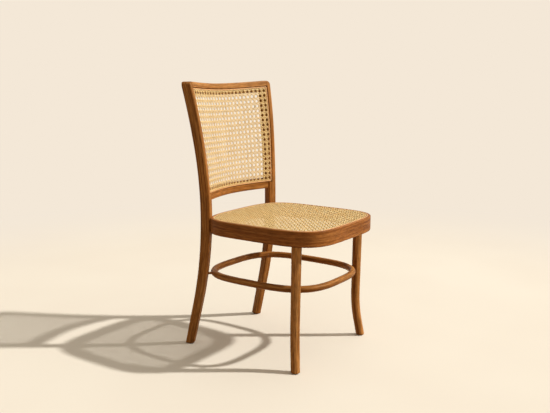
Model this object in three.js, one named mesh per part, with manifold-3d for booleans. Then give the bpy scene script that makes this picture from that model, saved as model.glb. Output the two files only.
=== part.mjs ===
// Armless bentwood dining chair with an open cane seat and back.
// Millimetres, +Z up, the chair faces -Y, and the origin is on the floor under its middle.
// Left is -X and right is +X, as seen from in front.

import * as THREE from 'three';
import { mergeVertices } from 'three/addons/utils/BufferGeometryUtils.js';
import Module from 'manifold-3d';

const wasm = await Module();
wasm.setup();

// Clearance between touching pieces, and how far a cutter runs past the face that it opens.
const fit = 0.3;
const overrun = 6;

// The whole chair: how far its rear feet stand out behind the seat, and its heights.
const rearFootOverhang = 89.3;
const seatHeight = 460;
const backHeight = 916;

// Seat ring: a hoop with an upright apron, wider and squarer at the front.
const seatWidth = 453;
const seatDepth = 475;
const seatWidestFromFront = 267;
const seatFrontSquareShare = 4.4;
const seatRearSquareShare = 3.9;
const apronHeight = 50;
const apronWall = 24;
const rimRounding = 5;
const apronEdgeRounding = 2;
const seatGrooveInset = 9;
const seatGrooveDepth = 8;
const seatStations = 52;

// Rear legs: each runs up from the foot as an upright of the back. The waist is where the
// two come closest, set in from the seat ring's side and rear.
const frameWidth = 29;
const frameDepth = 34;
const footWidth = 24;
const footDepth = 29;
const taperTop = 420;
const frameRounding = 5;
const topCornerRadius = 18;
const backBow = 42;
const waistSideInset = 37.5;
const waistHeight = 460;
const spreadRadius = 2620;
const spreadArc = 246;
const splayRadius = 10070;
const splayArc = 288;
const waistRearInset = 17.1;
const bellyHeight = 470;
const reclineRadius = 2020;
const reclineArc = 418;
const rakeRadius = 1300;
const rakeArc = 318;
const legStations = 10;
const uprightStations = 8;
const topStations = 5;

// Rails of the back, and the recess that holds the cane in front of them.
const topRailHeight = 28;
const topShoulder = 18.5;
const lowRailTop = 551;
const lowRailHeight = 33;
const lowRailRounding = 4;
const lowRailLip = 3.3;
const backColumns = 10;
const backBand = 16;
const recessDepth = 10;
const backGrooveInset = 1.6;
const backGrooveDepth = 6;

// Cane sheets and the reed splines that hold them in their grooves.
const caneThickness = 1.6;
const grooveWidth = 5.8;
const hemThickness = 1.2;
const hemClearance = 1.5;
const splineProud = 0.7;
const splineCrown = 1;
const caneMargin = 3;
const seatCanePitch = 47;
const caneRows = 8;
const caneGapShare = 0.66;
const octagonSideShare = 0.44;

// Front legs: round, straight for most of their height, then swept out to the foot.
const frontLegTopRadius = 16.2;
const frontLegFootRadius = 15;
const frontLegSideInset = 27;
const frontLegFromFront = 85;
const frontLegBackLean = 7;
const footSweepHeight = 170;
const footSweepRadius = 520;
const footSweepArc = 110;
const footSweepOutShare = 0.74;
const tenonRadius = 8;
const tenonLength = 28;
const frontLegStations = 8;
const frontLegSides = 12;

// Stretcher ring: a bent round rod, set in from the seat ring's side, and reaching past its rear.
const stretcherHeight = 260.5;
const stretcherRadius = 11.4;
const stretcherSideInset = 29.2;
const stretcherFromFront = 45;
const stretcherRearOverhang = 18.5;
const stretcherWidestShare = 0.52;
const stretcherSquareShare = 3.2;
const stretcherStations = 42;
const stretcherSides = 10;

// Spacers and screws of the stretcher ring.
const spacerRadius = 4.5;
const stretcherScrewRadius = 2.3;
const stretcherScrewHeadRadius = 4.2;
const stretcherScrewHead = 2.6;
const stretcherScrewSink = 3.5;
const stretcherScrewGrip = 9;

// Bolts, washers and insert nuts of the rear legs.
const boltRadius = 3;
const boltLength = 41;
const boltHeadRadius = 5;
const boltHeadHeight = 6;
const boltSpacing = 20;
const boltBelowRim = 27;
const spotfaceDepth = 2;
const spotfaceRadius = 8.4;
const washerRadius = 7.5;
const washerThickness = 1.6;
const insertRadius = 4.7;
const insertLength = 13;

// Corner blocks over the front legs, and their screws.
const blockHeight = 28;
const blockLift = 2;
const blockReach = 26;
const blockTurnShare = 0.055;
const blockStations = 4;
const blockScrewRadius = 2;
const blockScrewLength = 34;
const tenonScrewLength = 38;
const blockScrewHeadRadius = 4;
const blockScrewHead = 2.4;
const blockScrewTurnShare = 0.03;

// Dowels of the two back rails.
const dowelRadius = 4;
const dowelLength = 34;
const dowelInLeg = 11;
const dowelSpacing = 15;

// Glides under the feet.
const glideRadius = 10;
const glideHeight = 2.5;
const glideNailRadius = 1.5;
const glideNailLength = 14;

// Facets round a small turned piece, and the steps used to measure a slope.
const turnedSides = 10;
const slopeStep = 0.5;
const nudgeShare = 0.00025;

// Sizes that follow from those above.
const chairDepth = seatDepth + rearFootOverhang;
const seatFront = -chairDepth / 2;
const waistHalfWidth = seatWidth / 2 - waistSideInset;
const waistFromFront = seatDepth - waistRearInset;
const frontLegHalfSpacing = seatWidth / 2 - frontLegSideInset;
const stretcherHalfWidth = seatWidth / 2 - stretcherSideInset;
const stretcherLength = seatDepth + stretcherRearOverhang - stretcherFromFront;
const apronBottom = seatHeight - apronHeight;
const caneLip = seatHeight - caneThickness - fit;
const splineWidth = grooveWidth - hemThickness - 3 * fit;
const footPlane = glideHeight + fit;
const halfFrameWidth = frameWidth / 2;
const halfFrameDepth = frameDepth / 2;
const bandEdge = halfFrameWidth - backBand;
const lipPlane = recessDepth - halfFrameDepth;
const grooveOuter = bandEdge - backGrooveInset;
const grooveInner = grooveOuter - grooveWidth;
const grooveMiddle = (grooveOuter + grooveInner) / 2;
const shoulderEdge = halfFrameWidth - topShoulder;
const topRailUnder = backHeight - topRailHeight;
const topLean = slopeOf(uprightY, topRailUnder);
const bandUnder = backHeight - backBand;
const topGrooveHigh = bandUnder - backGrooveInset;
const topGrooveLow = topGrooveHigh - grooveWidth;
const lowGrooveHigh = lowRailTop - lowRailLip;
const lowGrooveLow = lowGrooveHigh - grooveWidth;
const recessBottom = lowGrooveLow - hemClearance;

// Finishes.
const oiledBeech = new THREE.MeshStandardMaterial({ color: 0x8a5a34, roughness: 0.45 });
const apronBeech = new THREE.MeshStandardMaterial({ color: 0x6f4223, roughness: 0.45 });
const caneStraw = new THREE.MeshStandardMaterial({ color: 0xd9bd8a, roughness: 0.6 });
const reed = new THREE.MeshStandardMaterial({ color: 0xc9a26c, roughness: 0.55 });
const paleBeech = new THREE.MeshStandardMaterial({ color: 0xc8a679, roughness: 0.7 });
const steel = new THREE.MeshStandardMaterial({ color: 0x9a9a98, roughness: 0.35, metalness: 1 });
const glidePlastic = new THREE.MeshStandardMaterial({ color: 0x2b2623, roughness: 0.5 });

const chair = new THREE.Group();

// Solids and booleans

// Turns a closed geometry into a solid for cutting, with its faces pointing out.
function toSolid(geometry) {
  const bare = new THREE.BufferGeometry();
  bare.setAttribute('position', geometry.getAttribute('position').clone());
  if (geometry.index) bare.setIndex(geometry.index.clone());
  const merged = mergeVertices(bare);
  const positions = Float32Array.from(merged.getAttribute('position').array);
  const corners = Uint32Array.from(merged.index.array);
  if (signedVolume(positions, corners) < 0) {
    for (let i = 0; i < corners.length; i += 3) {
      [corners[i], corners[i + 1]] = [corners[i + 1], corners[i]];
    }
  }
  return new wasm.Manifold(new wasm.Mesh({
    numProp: 3, vertProperties: positions, triVerts: corners,
  }));
}

function signedVolume(positions, corners) {
  const corner = (i) => new THREE.Vector3().fromArray(positions, corners[i] * 3);
  let volume = 0;
  for (let i = 0; i < corners.length; i += 3) {
    volume += corner(i).dot(corner(i + 1).cross(corner(i + 2)));
  }
  return volume / 6;
}

function toGeometry(solid) {
  const mesh = solid.getMesh();
  const geometry = new THREE.BufferGeometry();
  geometry.setAttribute('position', new THREE.BufferAttribute(mesh.vertProperties, 3));
  geometry.setIndex(new THREE.BufferAttribute(mesh.triVerts, 1));
  geometry.computeVertexNormals();
  return geometry;
}

function cut(solid, cutters) {
  return cutters.reduce((left, cutter) => left.subtract(cutter), solid);
}

function addPiece(name, solid, material) {
  const mesh = new THREE.Mesh(toGeometry(solid), material);
  mesh.name = name;
  chair.add(mesh);
}

// A skin over rows of points. Each row is one section; a closed skin joins last to first,
// and an open one is capped at both ends, where the section is convex.
function skin(rows, closed) {
  const across = rows[0].length;
  const corners = [];
  const spans = closed ? rows.length : rows.length - 1;
  for (let row = 0; row < spans; row += 1) {
    const next = (row + 1) % rows.length;
    for (let i = 0; i < across; i += 1) {
      const j = (i + 1) % across;
      corners.push(row * across + i, row * across + j, next * across + j);
      corners.push(row * across + i, next * across + j, next * across + i);
    }
  }
  if (!closed) {
    const last = (rows.length - 1) * across;
    for (let i = 1; i < across - 1; i += 1) {
      corners.push(0, i + 1, i);
      corners.push(last, last + i, last + i + 1);
    }
  }
  const geometry = new THREE.BufferGeometry();
  const positions = rows.flat().flatMap((point) => point.toArray());
  geometry.setAttribute('position', new THREE.Float32BufferAttribute(positions, 3));
  geometry.setIndex(corners);
  return toSolid(geometry);
}

// A turned piece along an axis: the profile is a list of [radius, distance along the axis].
function turned(profile, from, direction) {
  const points = profile.map(([radius, along]) => new THREE.Vector2(radius, along));
  const geometry = new THREE.LatheGeometry(points, turnedSides);
  const turn = new THREE.Quaternion().setFromUnitVectors(new THREE.Vector3(0, 1, 0), direction);
  geometry.applyQuaternion(turn);
  geometry.translate(from.x, from.y, from.z);
  return toSolid(geometry);
}

function rod(radius, from, direction, start, end) {
  return turned([[0, start], [radius, start], [radius, end], [0, end]], from, direction);
}

function tube(radius, bore, from, direction, start, end) {
  const profile = [[bore, start], [radius, start], [radius, end], [bore, end], [bore, start]];
  return turned(profile, from, direction);
}

// A section with rounded corners, as [outward, depth] pairs in order round it.
function roundedSection(outMin, outMax, depthMin, depthMax, rounding) {
  const centres = [
    [outMax - rounding, depthMin + rounding, -1],
    [outMax - rounding, depthMax - rounding, 0],
    [outMin + rounding, depthMax - rounding, 1],
    [outMin + rounding, depthMin + rounding, 2],
  ];
  return centres.flatMap(([out, depth, quarter]) => [0, 0.5, 1].map((share) => {
    const angle = (quarter + share) * Math.PI / 2;
    return [out + rounding * Math.cos(angle), depth + rounding * Math.sin(angle)];
  }));
}

// Squared ovals, for the seat ring and the stretcher ring

const seatOval = {
  halfWidth: seatWidth / 2,
  widestY: seatFront + seatWidestFromFront,
  frontReach: seatWidestFromFront,
  rearReach: seatDepth - seatWidestFromFront,
  frontSquareShare: seatFrontSquareShare,
  rearSquareShare: seatRearSquareShare,
};

const stretcherOval = {
  halfWidth: stretcherHalfWidth,
  widestY: seatFront + stretcherFromFront + stretcherWidestShare * stretcherLength,
  frontReach: stretcherWidestShare * stretcherLength,
  rearReach: (1 - stretcherWidestShare) * stretcherLength,
  frontSquareShare: stretcherSquareShare,
  rearSquareShare: stretcherSquareShare,
};

// A point of a squared oval: turn 0 is the front, a quarter is the right side.
function ovalPoint(oval, turn) {
  const side = Math.sin(2 * Math.PI * turn);
  const ahead = Math.cos(2 * Math.PI * turn);
  const reach = ahead > 0 ? oval.frontReach : oval.rearReach;
  const power = 2 / (ahead > 0 ? oval.frontSquareShare : oval.rearSquareShare);
  return new THREE.Vector3(
    oval.halfWidth * Math.sign(side) * Math.abs(side) ** power,
    oval.widestY - reach * Math.sign(ahead) * Math.abs(ahead) ** power,
    0,
  );
}

// The direction square to the oval at a turn, pointing out.
function ovalNormal(oval, turn) {
  const along = ovalPoint(oval, turn + nudgeShare).sub(ovalPoint(oval, turn - nudgeShare));
  return new THREE.Vector3(along.y, -along.x, 0).normalize();
}

function ovalOffset(oval, turn, out, z) {
  const point = ovalPoint(oval, turn).addScaledVector(ovalNormal(oval, turn), out);
  return point.setZ(z);
}

// A hoop that carries a section of [outward, height] pairs round an oval.
function hoop(oval, section, stations) {
  const rows = [];
  for (let i = 0; i < stations; i += 1) {
    rows.push(section.map(([out, z]) => ovalOffset(oval, i / stations, out, z)));
  }
  return skin(rows, true);
}

// The turn at which an oval comes nearest to a point, by halving the search range.
function nearestTurn(oval, x, y) {
  const distance = (turn) => ovalPoint(oval, turn).distanceTo(new THREE.Vector3(x, y, 0));
  let best = 0;
  let reach = 0.5;
  for (let pass = 0; pass < 14; pass += 1) {
    const middle = best;
    for (let i = -4; i <= 4; i += 1) {
      const turn = middle + reach * i / 4;
      if (distance(turn) < distance(best)) best = turn;
    }
    reach /= 2;
  }
  return best;
}

// The back, as a leaning and bowed surface

// How far a rail has moved aside after a distance: an arc that runs on as a straight.
function easedLean(distance, radius, arc) {
  const run = Math.max(distance, 0);
  const bent = Math.min(run, arc);
  return bent * bent / (2 * radius) + (run - bent) * arc / radius;
}

function uprightX(z) {
  return waistHalfWidth + easedLean(z - waistHeight, spreadRadius, spreadArc)
    + easedLean(waistHeight - z, splayRadius, splayArc);
}

function uprightY(z) {
  return seatFront + waistFromFront + easedLean(z - bellyHeight, reclineRadius, reclineArc)
    + easedLean(bellyHeight - z, rakeRadius, rakeArc);
}

function slopeOf(run, z) {
  return (run(z + slopeStep) - run(z - slopeStep)) / (2 * slopeStep);
}

// The middle surface of the back: it bows back between the uprights, square to its lean.
function backSurface(x, z) {
  const lean = slopeOf(uprightY, z);
  const bow = backBow * Math.cos(Math.PI / 2 * x / uprightX(z)) / Math.hypot(1, lean);
  return new THREE.Vector3(x, uprightY(z) + bow, z - bow * lean);
}

// A point at a depth behind that surface, or in front of it where the depth is negative.
// Heights level out towards the top, so that the top of the back is flat and not tilted.
function backPoint(x, height, depth) {
  const levelShare = Math.min(Math.max((height - topRailUnder) / topRailHeight, 0), 1);
  const z = height + depth * topLean * levelShare;
  const across = backSurface(x + slopeStep, z).sub(backSurface(x - slopeStep, z));
  const up = backSurface(x, z + slopeStep).sub(backSurface(x, z - slopeStep));
  return backSurface(x, z).addScaledVector(up.cross(across).normalize(), depth);
}

function steps(from, to, count) {
  return Array.from({ length: count + 1 }, (_, i) => from + (to - from) * i / count);
}

// Carries a section of [outward, depth] pairs up the line of an upright.
function alongUpright(sign, heights, sectionAt) {
  return skin(heights.map((z) => sectionAt(z).map(([out, depth]) => (
    backPoint(sign * (uprightX(z) + out), z, depth)
  ))), false);
}

// Where a share of the way across the back lies. All pieces turn at the same places between
// the uprights, so that their curves agree, and each ends at its own offset.
function acrossX(share, z, out) {
  return share * (uprightX(z) + (Math.abs(share) < 1 ? -halfFrameWidth : out));
}

// Carries a section of [height, depth] pairs across the back, out to an edge by the uprights.
function acrossBack(out, section) {
  return skin(steps(-1, 1, backColumns).map((share) => section.map(([z, depth]) => (
    backPoint(acrossX(share, z, out), z, depth)
  ))), false);
}

// How far a rounded edge of the given radius has drawn in, near the top of an upright.
function roundOver(z, radius) {
  const rise = Math.max(z - backHeight + radius, 0);
  return radius - Math.sqrt(Math.max(radius ** 2 - rise ** 2, 0));
}

// The section of a rear leg at a height, grown on all sides for a clearance.
function legSection(z, grow) {
  const share = Math.min(Math.max(z / taperTop, 0), 1);
  const halfWidth = (footWidth + (frameWidth - footWidth) * share) / 2 + grow;
  const halfDepth = (footDepth + (frameDepth - footDepth) * share) / 2 + grow;
  const outer = halfWidth - roundOver(z, topCornerRadius);
  const edge = halfDepth - roundOver(z, frameRounding);
  return roundedSection(-halfWidth, outer, -edge, edge, frameRounding + grow);
}

const uprightHeights = steps(recessBottom, topRailUnder, uprightStations);
const topHeights = steps(0, 1, topStations).map((share) => (
  backHeight - topCornerRadius * (1 - Math.sin(share * Math.PI / 2))
));
const legHeights = [
  ...steps(-overrun, recessBottom, legStations), ...uprightHeights.slice(1), ...topHeights,
];

function legBlank(sign, grow) {
  return alongUpright(sign, legHeights, (z) => legSection(z, grow));
}

// Where the rear legs, front legs, seat ring and stretcher ring meet

// Middle of a rear leg at a height, on the side that has the given sign.
function rearLegCentre(sign, z) {
  return backPoint(sign * uprightX(z), z, 0);
}

// Middle of a front leg: it leans back a little, and its foot sweeps out and forward.
function frontLegCentre(sign, z) {
  const top = apronBottom - fit;
  const down = (top - z) / top;
  const sweep = easedLean(footSweepHeight - z, footSweepRadius, footSweepArc);
  const forward = sweep * Math.sqrt(1 - footSweepOutShare ** 2);
  return new THREE.Vector3(
    sign * (frontLegHalfSpacing + sweep * footSweepOutShare),
    seatFront + frontLegFromFront + frontLegBackLean * down - forward,
    z,
  );
}

function frontLegRadius(z) {
  const down = 1 - z / (apronBottom - fit);
  return frontLegTopRadius + (frontLegFootRadius - frontLegTopRadius) * down;
}

// A line square to an oval through a leg's middle: a point on the oval and its direction.
function seatingLine(oval, centre) {
  const turn = nearestTurn(oval, centre.x, centre.y);
  return { turn, from: ovalPoint(oval, turn).setZ(centre.z), direction: ovalNormal(oval, turn) };
}

const corners = [
  { side: 'left', sign: -1 },
  { side: 'right', sign: 1 },
];

// Rear leg bolts: they run out from inside the seat ring, with an insert nut in the leg.
const boltJoints = corners.flatMap(({ side, sign }) => (
  [{ level: 'upper', drop: 0 }, { level: 'lower', drop: boltSpacing }].map(({ level, drop }) => {
    const z = seatHeight - boltBelowRim + boltSpacing / 2 - drop;
    return { name: `${side}_${level}`, ...seatingLine(seatOval, rearLegCentre(sign, z)) };
  })
));

const washerSeat = spotfaceDepth - apronWall;
const boltStart = washerSeat - fit - washerThickness - fit;

function boltBore({ from, direction }) {
  const bore = boltRadius + fit;
  const inside = washerSeat - apronWall;
  return turned([
    [0, inside], [spotfaceRadius, inside], [spotfaceRadius, washerSeat],
    [bore, washerSeat], [bore, overrun], [0, overrun],
  ], from, direction);
}

function insertBore({ from, direction }) {
  const tip = boltStart + boltLength + 2 * fit;
  const bore = insertRadius + fit;
  const end = insertLength + 3 * fit;
  return turned([
    [0, -overrun], [bore, -overrun], [bore, end],
    [boltRadius + fit, end], [boltRadius + fit, tip], [0, tip],
  ], from, direction);
}

// Stretcher screws: they run from inside the ring through a spacer into the leg.
const stretcherJoints = corners.flatMap(({ side, sign }) => [
  { name: `front_${side}`, centre: frontLegCentre(sign, stretcherHeight) },
  { name: `rear_${side}`, centre: rearLegCentre(sign, stretcherHeight) },
].map(({ name, centre }) => {
  const line = seatingLine(stretcherOval, centre.setZ(stretcherHeight));
  return { name, ...line, reach: line.from.distanceTo(centre) };
}));

const screwHeadSeat = stretcherScrewSink - stretcherRadius;

function stretcherScrewBore({ from, direction, reach }) {
  const bore = stretcherScrewRadius + fit;
  const head = stretcherScrewHeadRadius + fit;
  const end = reach - stretcherRadius + stretcherScrewGrip + fit;
  return turned([
    [0, -2 * stretcherRadius], [head, -2 * stretcherRadius], [head, screwHeadSeat],
    [bore, screwHeadSeat], [bore, end], [0, end],
  ], from, direction);
}

// Dowels of the rails: two at each end, along the rail where it meets the upright.
function dowelJoint(name, sign, out, z, depth) {
  const from = backPoint(sign * (uprightX(z) + out), z, depth);
  const inner = backPoint(sign * (uprightX(z) + out - dowelLength), z, depth);
  return { name, from, direction: from.clone().sub(inner).normalize() };
}

const lowDowelZ = lowRailTop - lowRailHeight / 2;
const lowDowelDepth = (lipPlane + halfFrameDepth) / 2;
const topDowelZ = backHeight - backBand / 2;
const lowDowels = corners.flatMap(({ side, sign }) => (
  [{ level: 'upper', lift: 0.5 }, { level: 'lower', lift: -0.5 }].map(({ level, lift }) => (
    dowelJoint(`low_rail_dowel_${side}_${level}`, sign, -halfFrameWidth,
      lowDowelZ + lift * dowelSpacing, lowDowelDepth)
  ))
));
const topDowels = corners.flatMap(({ side, sign }) => (
  [{ place: 'front', shift: -0.5 }, { place: 'back', shift: 0.5 }].map(({ place, shift }) => (
    dowelJoint(`top_rail_dowel_${side}_${place}`, sign, shoulderEdge,
      topDowelZ, shift * dowelSpacing)
  ))
));

function dowel({ from, direction }, clearance) {
  const start = dowelInLeg - dowelLength - clearance;
  return rod(dowelRadius + clearance, from, direction, start, dowelInLeg + clearance);
}

// Glides: a disc with a nail that goes up into the foot.
const feet = corners.flatMap(({ side, sign }) => [
  { name: `front_${side}`, centre: frontLegCentre(sign, footPlane) },
  { name: `rear_${side}`, centre: rearLegCentre(sign, footPlane) },
]);
const upward = new THREE.Vector3(0, 0, 1);

function glide({ centre }, clearance) {
  const nail = glideNailRadius + clearance;
  const nailTop = glideHeight + glideNailLength + clearance;
  const floor = new THREE.Vector3(centre.x, centre.y, 0);
  return turned([
    [0, 0], [glideRadius, 0], [glideRadius, glideHeight + clearance],
    [nail, glideHeight + clearance], [nail, nailTop], [0, nailTop],
  ], floor, upward);
}

// Screws of the front corner blocks

const blockBottom = apronBottom + blockLift;
const blockBack = -apronWall - fit - blockReach;
const frontJoints = corners.map(({ side, sign }) => {
  const line = seatingLine(seatOval, frontLegCentre(sign, apronBottom - fit));
  const tenon = line.from.clone().addScaledVector(line.direction, -apronWall / 2);
  return { side, sign, tenon, ...line };
});

function blockScrewLines({ side, turn }) {
  const z = blockBottom + blockHeight / 2;
  return [{ end: 'front', shift: -1 }, { end: 'side', shift: 1 }].map(({ end, shift }) => {
    const at = turn + (turn > 0 ? shift : -shift) * blockScrewTurnShare;
    const middle = ovalNormal(seatOval, turn);
    return {
      name: `${side}_${end}`,
      from: ovalOffset(seatOval, at, 0, z),
      direction: ovalNormal(seatOval, at).add(middle).normalize(),
      length: blockScrewLength,
    };
  });
}

function tenonScrewLine({ side, turn }) {
  const z = apronBottom + tenonLength / 2;
  const from = ovalOffset(seatOval, turn, 0, z);
  return { name: side, from, direction: ovalNormal(seatOval, turn), length: tenonScrewLength };
}

// The head of a block screw sits on the block's flat back, found along the screw's line.
function headPlace({ side, sign, turn }, line) {
  const middle = ovalNormal(seatOval, turn);
  const back = ovalOffset(seatOval, turn, blockBack, line.from.z);
  return back.sub(line.from).dot(middle) / line.direction.dot(middle);
}

function blockScrew(joint, line, clearance) {
  const seat = headPlace(joint, line) - fit;
  const head = blockScrewHeadRadius + clearance;
  const bore = blockScrewRadius + clearance;
  const tip = seat + line.length + clearance;
  return turned([
    [0, seat - blockScrewHead - clearance], [head, seat - blockScrewHead - clearance],
    [head, seat], [bore, seat], [bore, tip - blockScrewRadius], [0, tip],
  ], line.from, line.direction);
}

// Rear legs

const seatEnvelope = hoop(seatOval, [
  [fit, apronBottom - fit], [fit, seatHeight + fit],
  [-apronWall - fit, seatHeight + fit], [-apronWall - fit, apronBottom - fit],
], seatStations);

function belowPlane(z) {
  const box = new THREE.BoxGeometry(chairDepth * 2, chairDepth * 2, seatHeight);
  box.translate(0, 0, z - seatHeight / 2);
  return toSolid(box);
}

// A block that runs up an upright between two outward offsets and two depths.
function uprightBlock(sign, heights, [outer, inner], [near, far]) {
  return alongUpright(sign, heights, () => [
    [outer, near], [outer, far], [inner, far], [inner, near],
  ]);
}

function railBlock(out, [high, low], [near, far]) {
  return acrossBack(out, [[high, near], [high, far], [low, far], [low, near]]);
}

const innermost = -halfFrameWidth - overrun;
const beforeFront = -halfFrameDepth - overrun;
const beforeLip = lipPlane - overrun;
const grooveBack = lipPlane + backGrooveDepth;
const recessHeights = [...uprightHeights, bandUnder];
const shoulderHeights = [topRailUnder - fit, backHeight - topCornerRadius, backHeight + overrun];
const grooveHeights = [
  lowGrooveLow + grooveWidth / 2, ...uprightHeights.slice(1), topGrooveHigh - grooveWidth / 2,
];
const sideGrooves = corners.map(({ sign }) => (
  uprightBlock(sign, grooveHeights, [grooveOuter, grooveInner], [beforeLip, grooveBack])
));
const lowGroove = railBlock(grooveMiddle, [lowGrooveHigh, lowGrooveLow], [beforeLip, grooveBack]);
const topGroove = railBlock(grooveMiddle, [topGrooveHigh, topGrooveLow], [beforeLip, grooveBack]);

corners.forEach(({ side, sign }) => {
  const recess = uprightBlock(sign, recessHeights, [bandEdge, innermost], [beforeFront, lipPlane]);
  const shoulder = uprightBlock(
    sign, shoulderHeights, [shoulderEdge, innermost], [beforeFront, -beforeFront],
  );
  addPiece(`rear_leg_${side}`, cut(legBlank(sign, 0), [
    belowPlane(footPlane), seatEnvelope, recess, shoulder, ...sideGrooves, lowGroove,
    ...boltJoints.map(insertBore),
    ...stretcherJoints.map(stretcherScrewBore),
    ...[...lowDowels, ...topDowels].map((joint) => dowel(joint, fit)),
    ...feet.map((foot) => glide(foot, fit)),
  ]), oiledBeech);
});

// Rails of the back

const lowRail = acrossBack(-halfFrameWidth - fit, roundedSection(
  lowRailTop - lowRailHeight, lowRailTop, lipPlane, halfFrameDepth, lowRailRounding,
));
addPiece('low_rail', cut(lowRail, [
  lowGroove, ...lowDowels.map((joint) => dowel(joint, fit)),
]), oiledBeech);

const topRail = acrossBack(shoulderEdge - fit, roundedSection(
  topRailUnder, backHeight, -halfFrameDepth, halfFrameDepth, frameRounding,
));
const topRecess = railBlock(
  shoulderEdge, [bandUnder, topRailUnder - overrun], [beforeFront, lipPlane],
);
addPiece('top_rail', cut(topRail, [
  topRecess, topGroove, ...sideGrooves, ...topDowels.map((joint) => dowel(joint, fit)),
]), oiledBeech);

[...lowDowels, ...topDowels].forEach((joint) => {
  addPiece(joint.name, dowel(joint, 0), paleBeech);
});

// Reed splines of the back

// A spline's section from its groove floor to its crowned face, as [place, depth] pairs.
function splineSection(outer, floor, face) {
  const inner = outer - splineWidth;
  const quarter = splineWidth / 4;
  const shoulder = face + Math.sign(floor - face) * splineCrown;
  return [
    [outer, floor], [inner, floor], [inner, shoulder],
    [inner + quarter, face], [outer - quarter, face], [outer, shoulder],
  ];
}

const backSplineFloor = grooveBack - fit;
const backSplineFace = lipPlane - fit - caneThickness - splineProud;
const lowSplineHigh = lowGrooveLow + fit + splineWidth;
const topSplineHigh = topGrooveHigh - fit;
const splineHeights = [
  lowSplineHigh + fit, ...uprightHeights.slice(1, -1), topSplineHigh - splineWidth - fit,
];
corners.forEach(({ side, sign }) => {
  const section = splineSection(grooveOuter - fit, backSplineFloor, backSplineFace);
  addPiece(`back_spline_${side}`, alongUpright(sign, splineHeights, () => section), reed);
});
[{ name: 'top', high: topSplineHigh }, { name: 'low', high: lowSplineHigh }].forEach(({ name, high }) => {
  const section = splineSection(high, backSplineFloor, backSplineFace);
  addPiece(`back_spline_${name}`, acrossBack(grooveMiddle - fit, section), reed);
});

// Cane panel of the back: a grid of cells with an eight-sided gap each, and a folded hem

function octagon(centreX, centreY, halfWidth, halfHeight) {
  const side = octagonSideShare;
  const shape = [
    [-side, -1], [side, -1], [1, -side], [1, side], [side, 1], [-side, 1], [-1, side], [-1, -side],
  ];
  return shape.map(([x, y]) => [centreX + x * halfWidth, centreY + y * halfHeight]);
}

// Nested outlines on the back: the grid's own edge, and the outer and inner face of the hem.
const gridEdge = {
  out: -halfFrameWidth - caneMargin, low: lowRailTop + caneMargin, high: topRailUnder - caneMargin,
};
const hemFace = {
  out: grooveInner + fit + hemThickness,
  low: lowGrooveHigh - fit - hemThickness,
  high: topGrooveLow + fit + hemThickness,
};
const hemBack = {
  out: grooveInner + fit, low: lowGrooveHigh - fit, high: topGrooveLow + fit,
};
const caneFace = lipPlane - fit - caneThickness;
const caneRear = lipPlane - fit;
const hemFloor = grooveBack - hemClearance;

// A grid corner on one of those outlines, as an [x, height] pair.
function gridPoint(edge, column, row) {
  const z = edge.low + (edge.high - edge.low) * row / caneRows;
  return [acrossX(2 * column / backColumns - 1, z, edge.out), z];
}

// Faces of one cell: four strips round its gap on both faces, and the gap's own wall.
function cellFaces(column, row, front, rear) {
  const corner = [[0, 0], [1, 0], [1, 1], [0, 1]].map(([i, j]) => (
    gridPoint(gridEdge, column + i, row + j)
  ));
  const middleX = (corner[0][0] + corner[1][0] + corner[2][0] + corner[3][0]) / 4;
  const middleZ = (corner[0][1] + corner[3][1]) / 2;
  const gapWidth = caneGapShare * (corner[1][0] - corner[0][0]) / 2;
  const gapHeight = caneGapShare * (corner[3][1] - corner[0][1]) / 2;
  const gap = octagon(middleX, middleZ, gapWidth, gapHeight);
  const faces = [];
  const onBothFaces = (a, b, c) => {
    faces.push([front(a), front(b), front(c)], [rear(a), rear(c), rear(b)]);
  };
  corner.forEach((here, side) => {
    const next = corner[(side + 1) % 4];
    const [first, second, third] = [2 * side, 2 * side + 1, (2 * side + 2) % 8].map((i) => gap[i]);
    onBothFaces(here, next, second);
    onBothFaces(here, second, first);
    onBothFaces(next, third, second);
  });
  gap.forEach((here, i) => {
    const next = gap[(i + 1) % gap.length];
    faces.push([front(here), front(next), rear(here)], [front(next), rear(next), rear(here)]);
  });
  return faces;
}

// Corners of the grid in order round its edge.
function roundGrid() {
  const columns = Array.from({ length: backColumns }, (_, i) => i);
  const rows = Array.from({ length: caneRows }, (_, i) => i);
  return [
    ...columns.map((i) => [i, 0]),
    ...rows.map((i) => [backColumns, i]),
    ...columns.map((i) => [backColumns - i, caneRows]),
    ...rows.map((i) => [0, caneRows - i]),
  ];
}

function backCane() {
  const at = (depth) => ([x, z]) => backPoint(x, z, depth);
  const [front, rear, deep] = [caneFace, caneRear, hemFloor].map(at);
  const faces = [];
  for (let row = 0; row < caneRows; row += 1) {
    for (let column = 0; column < backColumns; column += 1) {
      faces.push(...cellFaces(column, row, front, rear));
    }
  }
  const loop = (edge) => roundGrid().map(([column, row]) => gridPoint(edge, column, row));
  const [grid, face, back] = [gridEdge, hemFace, hemBack].map(loop);
  const rings = [
    grid.map(front), face.map(front), face.map(deep), back.map(deep), back.map(rear), grid.map(rear),
  ];
  rings.slice(1).forEach((outer, i) => {
    const inner = rings[i];
    outer.forEach((here, k) => {
      const next = (k + 1) % outer.length;
      faces.push([inner[k], here, outer[next]], [inner[k], outer[next], inner[next]]);
    });
  });
  const geometry = new THREE.BufferGeometry();
  const positions = faces.flat().flatMap((point) => point.toArray());
  geometry.setAttribute('position', new THREE.Float32BufferAttribute(positions, 3));
  return toSolid(geometry);
}
addPiece('back_cane_panel', backCane(), caneStraw);

// Seat ring

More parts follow.
